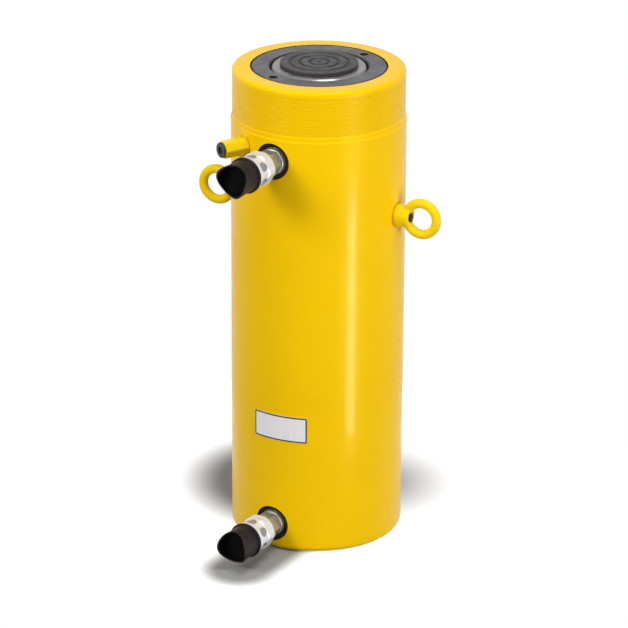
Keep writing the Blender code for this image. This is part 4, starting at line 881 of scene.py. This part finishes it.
# Coupler valves.
# A bronze seat ring is staked in the nose. A steel poppet closes against its cone, pushed by a
# spring in the chamber behind, so that no oil is lost when the hose is off.
SEAT_RING_START = 0.1646
SEAT_RING_END = 0.1720
SEAT_RING_RADIUS = 0.0118
SEAT_RING_HOLE_RADIUS = 0.0060
SEAT_CONE_RADIUS = 0.0086
SEAT_CONE_END = 0.1672
POPPET_START = 0.1533
POPPET_END = 0.1717
POPPET_STEM_RADIUS = 0.0030
POPPET_HEAD_START = 0.1593
POPPET_HEAD_END = 0.1643
POPPET_HEAD_RADIUS = 0.0085
POPPET_STEP_RADIUS = 0.0083
POPPET_CONE_END = 0.1669
POPPET_CONE_RADIUS = 0.0057

for port_name, port_height in PORT_HEIGHTS.items():
    seat = along(PORT_AZIMUTH, port_height)
    seat_ring = turned(port_name + "_valve_seat_turned", [
        (SEAT_CONE_RADIUS, SEAT_RING_START),
        (SEAT_RING_RADIUS, SEAT_RING_START),
        (SEAT_RING_RADIUS, SEAT_RING_END, 0.0004),
        (SEAT_RING_HOLE_RADIUS, SEAT_RING_END, 0.0006),
        (SEAT_RING_HOLE_RADIUS, SEAT_CONE_END),
    ], sides=64, place=seat)
    seat_ring.data.materials.append(gland_bronze)
    polished(seat_ring)
    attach(seat_ring, "cylinder")
    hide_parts(port_name + "_valve_seat")
    poppet = turned(port_name + "_poppet_turned", [
        (0.0, POPPET_START),
        (POPPET_STEM_RADIUS, POPPET_START, 0.0004),
        (POPPET_STEM_RADIUS, POPPET_HEAD_START),
        (POPPET_HEAD_RADIUS, POPPET_HEAD_START, 0.0005),
        (POPPET_HEAD_RADIUS, POPPET_HEAD_END),
        (POPPET_STEP_RADIUS, POPPET_HEAD_END),
        (POPPET_CONE_RADIUS, POPPET_CONE_END, 0.0004),
        (POPPET_STEM_RADIUS, POPPET_CONE_END),
        (POPPET_STEM_RADIUS, POPPET_END, 0.0008),
        (0.0, POPPET_END),
    ], sides=48, place=seat)
    poppet.data.materials.append(plated)
    polished(poppet)
    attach(poppet, port_name + "_valve")
    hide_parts(port_name + "_poppet")
    wearing(port_name + "_poppet_spring", plated)

# Dust caps.
# Moulded in tough black plastic. A socket screws over the coupler's nose up to a rimmed flange,
# and the outer end is a wide cup with a fish mouth scooped out of it, so that two fingers can
# grip and turn it.
CAP_FACE = 0.1556
CAP_FLANGE_RADIUS = 0.0210
CAP_FLANGE_LENGTH = 0.0038
CAP_WAIST_RADIUS = 0.0190
CAP_MOUTH_RADIUS = 0.0198
CAP_FLARE_SHARE = 0.8
CAP_FLARE_DROP = 0.002
CAP_SOCKET_RADIUS = 0.0153
CAP_SOCKET_END = 0.1735
CAP_CUP_FLOOR = 0.1765
CAP_CUP_RADIUS = 0.0178
CAP_SCOOP_RADIUS = 0.0225
CAP_SCOOP_MIDDLE = 0.20183
CAP_TURNS = {"advance": math.radians(5), "retract": math.radians(-35)}
CAP_BLACK = (0.015, 0.0115, 0.0125)
CAP_GREY = (0.028, 0.0225, 0.0240)
CUP_PAINTED_SHADE = (0.0016, 0.0013, 0.0012)
CUP_PAINTED_SHADE_PALE = (0.004, 0.0034, 0.0032)


def cap_outline(angle):
    """Half section of the cap; the scoop makes its rim dip twice in one turn."""
    outer_rim, inner_rim = [
        CAP_SCOOP_MIDDLE - math.sqrt(CAP_SCOOP_RADIUS ** 2 - (radius * math.cos(angle)) ** 2)
        for radius in (CAP_MOUTH_RADIUS, CAP_CUP_RADIUS)
    ]
    flare_radius = CAP_WAIST_RADIUS + (CAP_MOUTH_RADIUS - CAP_WAIST_RADIUS) * CAP_FLARE_SHARE
    return [
        (CAP_SOCKET_RADIUS, CAP_FACE, 0.0003),
        (CAP_FLANGE_RADIUS, CAP_FACE, 0.0007),
        (CAP_FLANGE_RADIUS, CAP_FACE + CAP_FLANGE_LENGTH, 0.0007),
        (CAP_WAIST_RADIUS, CAP_FACE + CAP_FLANGE_LENGTH, 0.0005),
        (CAP_WAIST_RADIUS, CAP_CUP_FLOOR),
        (flare_radius, outer_rim - CAP_FLARE_DROP),
        (CAP_MOUTH_RADIUS, outer_rim, 0.0006),
        (CAP_CUP_RADIUS, inner_rim, 0.0006),
        (CAP_CUP_RADIUS, CAP_CUP_FLOOR, 0.0008),
        (0.0, CAP_CUP_FLOOR),
        (0.0, CAP_SOCKET_END),
        (CAP_SOCKET_RADIUS, CAP_SOCKET_END),
    ]


cap_plastic, cap_tree, cap_shader = bare_material("cap_plastic", CAP_BLACK, 0.42, 0.0, specular=0.10)
tint(cap_tree, cap_shader, grain(cap_tree, 60.0, 6.0), CAP_BLACK, CAP_GREY, 0.40, 0.75)
sheen_range(cap_tree, cap_shader, grain(cap_tree, 130.0, 4.0), 0.36, 0.52)
relief(cap_tree, cap_shader, grain(cap_tree, 1100.0, 3.0), 0.00005, 0.5)
relief(cap_tree, cap_shader, grain(cap_tree, 160.0, 2.0), 0.0002, 0.15)
# painted shade: the inside of the cup is a much darker black than the cap for the shade in the
# hollow
cup_painted_shade = moulded_rubber("cup_painted_shade", CUP_PAINTED_SHADE, CUP_PAINTED_SHADE_PALE, 0.7, specular=0.05)
for port_name, port_height in PORT_HEIGHTS.items():
    seat = along(PORT_AZIMUTH, port_height) @ Matrix.Rotation(CAP_TURNS[port_name], 4, "Z")
    cap = turned(port_name + "_dust_cap_moulded", cap_outline, sides=120, place=seat)
    cap.data.materials.append(cap_plastic)
    cap.data.materials.append(cup_painted_shade)
    for face in cap.data.polygons:
        off_axis = math.hypot(face.center.x, face.center.y)
        if off_axis < CAP_CUP_RADIUS + 0.0002 and face.center.z > CAP_CUP_FLOOR - 0.0001:
            face.material_index = 1
    polished(cap)
    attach(cap, port_name + "_cap")
    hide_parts(port_name + "_dust_cap")

# Relief valve.
# A hexagon body screwed in beside the top port and painted with the barrel. A ball in it opens
# against a spring if the upper chamber is blocked, and a blackened screw with a hexagon socket
# closes its end.
RELIEF_HEX = 0.019
RELIEF_CORNER = 0.0106
RELIEF_BEVEL = 0.0012
RELIEF_SEAT = 0.1006
RELIEF_END = 0.1312
RELIEF_SPIGOT_RADIUS = 0.0070
RELIEF_SPIGOT_START = 0.0856
RELIEF_CHAMBER_RADIUS = 0.0048
RELIEF_CHAMBER_FLOOR = 0.0896
RELIEF_MILL_REACH = 0.02
SCREW_START = 0.11955
SCREW_RADIUS = 0.0045
SCREW_HEAD_RADIUS = 0.0090
SCREW_HEAD_GAP = 0.0003
SCREW_HEAD_END = 0.1341
SCREW_SOCKET_CORNER = 0.00462
SCREW_SOCKET_DEPTH = 0.0020
FITTING_YELLOW = (0.89, 0.63, 0.008)
FITTING_SHADE = (0.86, 0.60, 0.006)
SCREW_BLACK = (0.035, 0.033, 0.033)
SCREW_BLACK_PALE = (0.07, 0.066, 0.06)

relief_place = along(RELIEF_AZIMUTH, RELIEF_HEIGHT)
relief_body = turned("relief_body_turned", [
    (RELIEF_OIL_HOLE_RADIUS, RELIEF_SPIGOT_START),
    (RELIEF_SPIGOT_RADIUS, RELIEF_SPIGOT_START, 0.0005),
    (RELIEF_SPIGOT_RADIUS, RELIEF_SEAT),
    (RELIEF_CORNER - RELIEF_BEVEL, RELIEF_SEAT, 0.0003),
    (RELIEF_CORNER, RELIEF_SEAT + RELIEF_BEVEL, 0.0004),
    (RELIEF_CORNER, RELIEF_END - RELIEF_BEVEL, 0.0006),
    (RELIEF_CORNER - RELIEF_BEVEL, RELIEF_END, 0.0006),
    (RELIEF_CHAMBER_RADIUS, RELIEF_END),
    (RELIEF_CHAMBER_RADIUS, RELIEF_CHAMBER_FLOOR),
    (RELIEF_OIL_HOLE_RADIUS, RELIEF_CHAMBER_FLOOR),
], sides=72, place=relief_place)
relief_mill = hexagon_mill("relief_mill", RELIEF_HEX, RELIEF_SEAT + MILL_CLEARANCE,
                           RELIEF_END + MILL_CLEARANCE, RELIEF_MILL_REACH, relief_place)
fitting_enamel = yellow_enamel("fitting_enamel", FITTING_SHADE, FITTING_YELLOW, 420.0, 0.00005)
relief_body.data.materials.append(fitting_enamel)
relief_mill.data.materials.append(fitting_enamel)
machined(relief_body, [relief_mill])
polished(relief_body, 20)
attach(relief_body, "cylinder")
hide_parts("relief_valve_body")

screw_black = turned_metal("screw_black", SCREW_BLACK, SCREW_BLACK_PALE, roughness=0.40,
                           line_scale=600.0, line_depth=0.00004, metallic=0.6)
socket_tool = turned("socket_tool", [
    (0.0, SCREW_HEAD_END - SCREW_SOCKET_DEPTH),
    (SCREW_SOCKET_CORNER, SCREW_HEAD_END - SCREW_SOCKET_DEPTH),
    (SCREW_SOCKET_CORNER, SCREW_HEAD_END + SCREW_SOCKET_DEPTH),
    (0.0, SCREW_HEAD_END + SCREW_SOCKET_DEPTH),
], sides=6, place=relief_place)
relief_screw = turned("relief_screw_turned", [
    (0.0, SCREW_START),
    (SCREW_RADIUS, SCREW_START, 0.0004),
    (SCREW_RADIUS, RELIEF_END + SCREW_HEAD_GAP),
    (SCREW_HEAD_RADIUS, RELIEF_END + SCREW_HEAD_GAP, 0.0003),
    (SCREW_HEAD_RADIUS, SCREW_HEAD_END, 0.0009),
    (0.0, SCREW_HEAD_END),
], sides=64, place=relief_place)
relief_screw.data.materials.append(screw_black)
socket_tool.data.materials.append(screw_black)
machined(relief_screw, [socket_tool])
polished(relief_screw)
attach(relief_screw, "cylinder")
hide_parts("relief_adjusting_screw")
wearing("relief_ball", plated)
wearing("relief_spring", plated)

# Lifting eyes.
# Drop forged steel: a round bar ring that flows into a flared boss. Each is seated on a spot
# face in the barrel by a stud, and painted with the barrel.
EYE_SEAT = 0.1010
EYE_RING_CENTRE = 0.132
EYE_RING_RADIUS = 0.0188
EYE_BAR_RADIUS = 0.0055
EYE_FOOT_RADIUS = 0.0140
EYE_FOOT_LENGTH = 0.0035
EYE_FLARE_RADIUS = 0.0126
EYE_FLARE_END = 0.1098
EYE_BOSS_RADIUS = 0.0114
EYE_BOSS_TOP = 0.1182
STUD_DRILL_START = 0.099
STUD_DRILL_END = 0.122
FORGING_VOXEL = 0.0007


def forged_ring(name, radius, bar, around, along_bar):
    """A ring of round bar about Z, closed on itself."""
    bm = bmesh.new()
    loops = []
    for step in range(around):
        angle = 2 * math.pi * step / around
        loop = []
        for side in range(along_bar):
            tilt = 2 * math.pi * side / along_bar
            reach = radius + bar * math.cos(tilt)
            loop.append(bm.verts.new((reach * math.cos(angle), reach * math.sin(angle),
                                      bar * math.sin(tilt))))
        loops.append(loop)
    for first, second in zip(loops, loops[1:] + loops[:1]):
        for side in range(along_bar):
            after = (side + 1) % along_bar
            bm.faces.new((first[side], second[side], second[after], first[after]))
    return shown(name, bm)


forged_enamel = yellow_enamel("forged_enamel", FITTING_SHADE, FITTING_YELLOW, 190.0, 0.00012)
for side, azimuth in EYE_AZIMUTHS.items():
    seat = along(azimuth, EYE_HEIGHT)
    eye = turned("lifting_eye_" + side + "_forged", [
        (0.0, EYE_SEAT),
        (EYE_FOOT_RADIUS, EYE_SEAT, 0.0006),
        (EYE_FOOT_RADIUS, EYE_SEAT + EYE_FOOT_LENGTH, 0.0012),
        (EYE_FLARE_RADIUS, EYE_FLARE_END, 0.008),
        (EYE_BOSS_RADIUS, EYE_BOSS_TOP, 0.0016),
        (0.0, EYE_BOSS_TOP),
    ], sides=64, place=seat)
    hoop = forged_ring("hoop", EYE_RING_RADIUS, EYE_BAR_RADIUS, 96, 28)
    upright = Matrix.Rotation(math.pi / 2, 4, "Y")
    hoop.matrix_world = seat @ Matrix.Translation((0.0, 0.0, EYE_RING_CENTRE)) @ upright
    machined(eye, [hoop], "UNION")
    weld = eye.modifiers.new("forged_together", "REMESH")
    weld.mode = "VOXEL"
    weld.voxel_size = FORGING_VOXEL
    soften = eye.modifiers.new("forging_radius", "SMOOTH")
    soften.factor = 0.5
    soften.iterations = 8
    drill = turned("stud_drill", [
        (0.0, STUD_DRILL_START),
        (STUD_HOLE_RADIUS, STUD_DRILL_START),
        (STUD_HOLE_RADIUS, STUD_DRILL_END),
        (0.0, STUD_DRILL_END),
    ], sides=48, place=seat)
    machined(eye, [drill])
    eye.data.materials.clear()
    eye.data.materials.append(forged_enamel)
    polished(eye, 50)
    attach(eye, "cylinder")
    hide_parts("lifting_eye_" + side)

# Eye studs.
# A blackened steel stud is screwed into the barrel and ties each eye to it. Its end shows as a
# dark disc inside the ring.
STUD_START = 0.0857
STUD_RADIUS = 0.0060
STUD_SHOULDER = 0.1175
STUD_POINT_RADIUS = 0.0047
STUD_POINT_START = 0.1180
STUD_END_RADIUS = 0.0045
STUD_END = 0.1194
STUD_DIMPLE_RADIUS = 0.0020
STUD_DIMPLE_FLOOR = 0.1186
STUD_BLACK = (0.010, 0.007, 0.004)
STUD_BLACK_PALE = (0.022, 0.016, 0.010)

stud_black = turned_metal("stud_black", STUD_BLACK, STUD_BLACK_PALE, roughness=0.5,
                          line_scale=600.0, line_depth=0.00004, metallic=0.0, specular=0.15)
for side, azimuth in EYE_AZIMUTHS.items():
    stud = turned("eye_stud_" + side + "_turned", [
        (0.0, STUD_START),
        (STUD_RADIUS, STUD_START, 0.0005),
        (STUD_RADIUS, STUD_SHOULDER, 0.0004),
        (STUD_POINT_RADIUS, STUD_POINT_START, 0.0003),
        (STUD_END_RADIUS, STUD_END, 0.0006),
        (STUD_DIMPLE_RADIUS, STUD_END, 0.0003),
        (0.0, STUD_DIMPLE_FLOOR),
    ], sides=48, place=along(azimuth, EYE_HEIGHT))
    stud.data.materials.append(stud_black)
    polished(stud)
    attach(stud, "cylinder")
    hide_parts("eye_stud_" + side)

# Rating plate.
# A thin satin aluminium plate bent to the barrel and stuck on, with a dark printed border. It
# is left blank.
PLATE_LEFT = math.radians(45.1)
PLATE_RIGHT = math.radians(6.4)
PLATE_LOW = 0.1412
PLATE_HEIGHT = 0.032
PLATE_THICKNESS = 0.0005
PLATE_INNER = 0.1017
PLATE_LENGTH = (PLATE_LEFT - PLATE_RIGHT) * PLATE_INNER
PLATE_CORNER = 0.0026
PLATE_BORDER = 0.0018
PLATE_MARGIN = 0.0002
PLATE_CORNER_STEPS = 6
PLATE_COLUMNS = 48
PLATE_ROWS = 16
PLATE_SILVER = (0.75, 0.73, 0.74)
PLATE_SHADE = (0.70, 0.68, 0.69)
PLATE_INK = (0.030, 0.022, 0.012)

plate_columns = []
for step in range(PLATE_CORNER_STEPS + 1):
    turn = math.pi / 2 * step / PLATE_CORNER_STEPS
    plate_columns.append(PLATE_CORNER * (1.0 - math.cos(turn)))
plate_middle = PLATE_LENGTH - 2 * PLATE_CORNER
for step in range(1, PLATE_COLUMNS):
    plate_columns.append(PLATE_CORNER + plate_middle * step / PLATE_COLUMNS)
for step in range(PLATE_CORNER_STEPS, -1, -1):
    plate_columns.append(PLATE_LENGTH - plate_columns[step])
plate_bm = bmesh.new()
plate_uv = plate_bm.loops.layers.uv.new("plate")
plate_grid = []
for along_plate in plate_columns:
    azimuth = PLATE_LEFT - along_plate / PLATE_INNER
    from_end = min(along_plate, PLATE_LENGTH - along_plate, PLATE_CORNER)
    inset = PLATE_CORNER - math.sqrt(PLATE_CORNER ** 2 - (PLATE_CORNER - from_end) ** 2)
    column = []
    for row in range(PLATE_ROWS + 1):
        rise = inset + (PLATE_HEIGHT - 2 * inset) * row / PLATE_ROWS
        height = PLATE_LOW + rise
        spot = (-PLATE_INNER * math.sin(azimuth), -PLATE_INNER * math.cos(azimuth), height)
        column.append((plate_bm.verts.new(spot), (along_plate, rise)))
    plate_grid.append(column)
for first, second in zip(plate_grid, plate_grid[1:]):
    for low in range(PLATE_ROWS):
        ring = (first[low], second[low], second[low + 1], first[low + 1])
        face = plate_bm.faces.new([corner[0] for corner in ring])
        for loop, corner in zip(face.loops, ring):
            loop[plate_uv].uv = (corner[1][0] / PLATE_LENGTH, corner[1][1] / PLATE_HEIGHT)
plate = shown("rating_plate_blank", plate_bm)
thicken = plate.modifiers.new("sheet_thickness", "SOLIDIFY")
thicken.thickness = PLATE_THICKNESS
thicken.offset = 1.0
machined(plate, [])

def vector_step(tree, operation, first, second=None):
    """One vector sum in a node tree; the second value is a socket or a constant."""
    step = tree.nodes.new("ShaderNodeVectorMath")
    step.operation = operation
    tree.links.new(first, step.inputs[0])
    if isinstance(second, tuple):
        step.inputs[1].default_value = second
    elif second is not None:
        tree.links.new(second, step.inputs[3 if operation == "SCALE" else 1])
    scalar = operation in ("LENGTH", "DOT_PRODUCT")
    return step.outputs["Value" if scalar else "Vector"]


silver, silver_tree, silver_shader = bare_material("plate_silver", PLATE_SILVER, 0.38, 0.25)
plate_spot = silver_tree.nodes.new("ShaderNodeUVMap")
plate_spot.uv_map = "plate"
plate_place = silver_tree.nodes.new("ShaderNodeMapping")
plate_place.inputs["Scale"].default_value = (PLATE_LENGTH, PLATE_HEIGHT, 0.0)
plate_place.inputs["Location"].default_value = (-PLATE_LENGTH / 2, -PLATE_HEIGHT / 2, 0.0)
silver_tree.links.new(plate_spot.outputs["UV"], plate_place.inputs["Vector"])
# the distance from the rounded edge, up to the radius of the corners
flat_half = (PLATE_LENGTH / 2 - PLATE_CORNER, PLATE_HEIGHT / 2 - PLATE_CORNER, 0.0)
from_middle = vector_step(silver_tree, "ABSOLUTE", plate_place.outputs["Vector"])
from_flat = vector_step(silver_tree, "SUBTRACT", from_middle, flat_half)
past_flat = vector_step(silver_tree, "MAXIMUM", from_flat, (0.0, 0.0, 0.0))
inked = silver_tree.nodes.new("ShaderNodeMath")
inked.operation = "COMPARE"
inked.inputs[1].default_value = PLATE_CORNER - PLATE_MARGIN - PLATE_BORDER / 2
inked.inputs[2].default_value = PLATE_BORDER / 2
silver_tree.links.new(vector_step(silver_tree, "LENGTH", past_flat), inked.inputs[0])
plate_grain = grain(silver_tree, 600.0, 4.0, (1.0, 1.0, 0.06))
plate_colour = tint(silver_tree, silver_shader, plate_grain, PLATE_SHADE, PLATE_SILVER)
plate_print = silver_tree.nodes.new("ShaderNodeMix")
plate_print.data_type = "RGBA"
plate_print.inputs["B"].default_value = (*PLATE_INK, 1.0)
silver_tree.links.new(inked.outputs[0], plate_print.inputs["Factor"])
silver_tree.links.new(plate_colour, plate_print.inputs["A"])
silver_tree.links.new(plate_print.outputs["Result"], silver_shader.inputs["Base Color"])
sheen_range(silver_tree, silver_shader, grain(silver_tree, 80.0, 4.0), 0.32, 0.46)
relief(silver_tree, silver_shader, grain(silver_tree, 1500.0, 3.0, (1.0, 1.0, 0.05)), 0.00002, 0.4)
plate.data.materials.append(silver)
polished(plate)
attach(plate, "cylinder")
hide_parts("rating_plate")

# Table.
# A round pale studio table. Where the camera or a shiny face sees it, it glows enough to read as
# white, except in two circles behind the cylinder and a strip under the lower coupler, where the
# glow fades out. There the table's own darker tone shows as a painted shadow, along with the
# real shadow that falls in them.
TABLE_RADIUS = 0.44
TABLE_SIDES = 96
TABLE_PALE = (0.32, 0.32, 0.32)
TABLE_GLOW = 1.00
SHADE_MIDDLE = (-0.016, 0.108, 0.0)
SHADE_START = 0.096
SHADE_END = 0.174
FAINT_SHADE_MIDDLE = (0.055, 0.104, 0.0)
FAINT_SHADE_END = 0.160
COUPLER_SHADE_LENGTH = 0.170
COUPLER_SHADE_START = 0.026
COUPLER_SHADE_END = 0.060

table_bm = bmesh.new()
table_rim = []
for side in range(TABLE_SIDES):
    angle = 2 * math.pi * side / TABLE_SIDES
    spot = (TABLE_RADIUS * math.cos(angle), TABLE_RADIUS * math.sin(angle), 0.0)
    table_rim.append(table_bm.verts.new(spot))
table_bm.faces.new(table_rim)
table = shown("studio_table", table_bm)
table_paint, table_tree, table_shader = bare_material("table_pale", TABLE_PALE, 0.9, 0.0,
                                                      specular=0.0)
table_shader.inputs["Emission Color"].default_value = (1.0, 1.0, 1.0, 1.0)


def number_step(tree, operation, first, second):
    """One sum of two numbers in a node tree."""
    step = tree.nodes.new("ShaderNodeMath")
    step.operation = operation
    tree.links.new(first, step.inputs[0])
    tree.links.new(second, step.inputs[1])
    return step.outputs[0]


def ramped(tree, source, start, end, low, high):
    """A value that goes smoothly from low to high as the source goes from start to end."""
    ramp = tree.nodes.new("ShaderNodeMapRange")
    ramp.interpolation_type = "SMOOTHSTEP"
    ramp.inputs["From Min"].default_value = start
    ramp.inputs["From Max"].default_value = end
    ramp.inputs["To Min"].default_value = low
    ramp.inputs["To Max"].default_value = high
    tree.links.new(source, ramp.inputs["Value"])
    return ramp.outputs["Result"]


def glow_outside(tree, spot, middle, start, end):
    """The table's glow, which is nothing near a point or line and full past the end."""
    reach = vector_step(tree, "LENGTH", vector_step(tree, "SUBTRACT", spot, middle))
    return ramped(tree, reach, start, end, 0.0, TABLE_GLOW)


def seen_or_mirrored(tree):
    """One for rays from the camera, in a gloss or through glass, else nothing."""
    rays = tree.nodes.new("ShaderNodeLightPath")
    seen = number_step(tree, "MAXIMUM", rays.outputs["Is Camera Ray"], rays.outputs["Is Glossy Ray"])
    return number_step(tree, "MAXIMUM", seen, rays.outputs["Is Transmission Ray"])


table_spot = table_tree.nodes.new("ShaderNodeTexCoord").outputs["Object"]
# the nearest point of a line on the table under the lower coupler
coupler_way = (-math.sin(PORT_AZIMUTH), -math.cos(PORT_AZIMUTH), 0.0)
held = table_tree.nodes.new("ShaderNodeClamp")
held.inputs["Max"].default_value = COUPLER_SHADE_LENGTH
way_point = vector_step(table_tree, "DOT_PRODUCT", table_spot, coupler_way)
table_tree.links.new(way_point, held.inputs["Value"])
way = table_tree.nodes.new("ShaderNodeCombineXYZ")
for axis_name, share in zip("XYZ", coupler_way):
    way.inputs[axis_name].default_value = share
nearest = vector_step(table_tree, "SCALE", way.outputs["Vector"], held.outputs["Result"])

glow = seen_or_mirrored(table_tree)
# painted shadow: two circles behind the cylinder and a strip under the lower coupler where the glow
# is left out
for middle, start, end in (
    (SHADE_MIDDLE, SHADE_START, SHADE_END),
    (FAINT_SHADE_MIDDLE, 0.0, FAINT_SHADE_END),
    (nearest, COUPLER_SHADE_START, COUPLER_SHADE_END),
):
    outside = glow_outside(table_tree, table_spot, middle, start, end)
    glow = number_step(table_tree, "MINIMUM", glow, outside)
table_tree.links.new(glow, table_shader.inputs["Emission Strength"])
table.data.materials.append(table_paint)

# Studio light.
# A white room, a soft lamp overhead, one from the left and a small near one at the right, and a
# narrow one low at the right that only draws the bright line down the barrel.
ROOM_LIGHT = 0.31

world = bpy.data.worlds.new("white_room")
bpy.context.scene.world = world
world.use_nodes = True
room = world.node_tree
room_glow = room.nodes["Background"]
room_glow.inputs["Color"].default_value = (1.0, 1.0, 1.0, 1.0)
room_level = ramped(room, seen_or_mirrored(room), 0.0, 1.0, ROOM_LIGHT, 1.0)
room.links.new(room_level, room_glow.inputs["Strength"])


def soft_lamp(name, spot, target, width, height, power):
    """A rectangular soft box that faces a point on the cylinder."""
    lamp = bpy.data.lights.new(name, "AREA")
    lamp.shape = "RECTANGLE"
    lamp.size = width
    lamp.size_y = height
    lamp.energy = power
    holder = bpy.data.objects.new(name, lamp)
    holder.location = spot
    aim = Vector(target) - Vector(spot)
    holder.rotation_euler = aim.to_track_quat("-Z", "Y").to_euler()
    bpy.context.collection.objects.link(holder)
    return holder


soft_lamp("top_lamp", spot=(0.45, -0.70, 2.70), target=(0.0, 0.0, 0.3),
          width=1.0, height=1.0, power=31.0)
soft_lamp("near_lamp", spot=(0.95, -0.85, 0.38), target=(0.0, 0.0, 0.3),
          width=0.5, height=0.5, power=7.4)
soft_lamp("left_lamp", spot=(-1.7, -1.3, 1.6), target=(0.0, 0.0, 0.3),
          width=0.8, height=0.8, power=31.0)
line_lamp = soft_lamp("line_lamp", spot=(0.713, -0.763, -0.085), target=(0.039, -0.094, 0.10),
                      width=0.20, height=0.36, power=9.5)
line_lamp.visible_diffuse = False

# Camera.
# A long lens in front of the cylinder and above it, held a third of a degree out of level as in
# the photograph.
CAMERA_LENS = 200.64
CAMERA_SPOT = (-0.004225, -3.830792, 1.798145)
CAMERA_LOOKS_DOWN = math.radians(21.828866)
CAMERA_ROLL = math.radians(0.336571)

camera_data = bpy.data.cameras.new("photo_camera")
camera_data.lens = CAMERA_LENS
camera_data.sensor_width = 36.0
camera_data.clip_end = 60.0
camera = bpy.data.objects.new("photo_camera", camera_data)
bpy.context.collection.objects.link(camera)
camera_tilt = Matrix.Rotation(math.pi / 2 - CAMERA_LOOKS_DOWN, 4, "X")
camera_roll = Matrix.Rotation(CAMERA_ROLL, 4, "Z")
camera.matrix_world = Matrix.Translation(CAMERA_SPOT) @ camera_tilt @ camera_roll
bpy.context.scene.camera = camera
bpy.context.scene.view_settings.view_transform = "Standard"
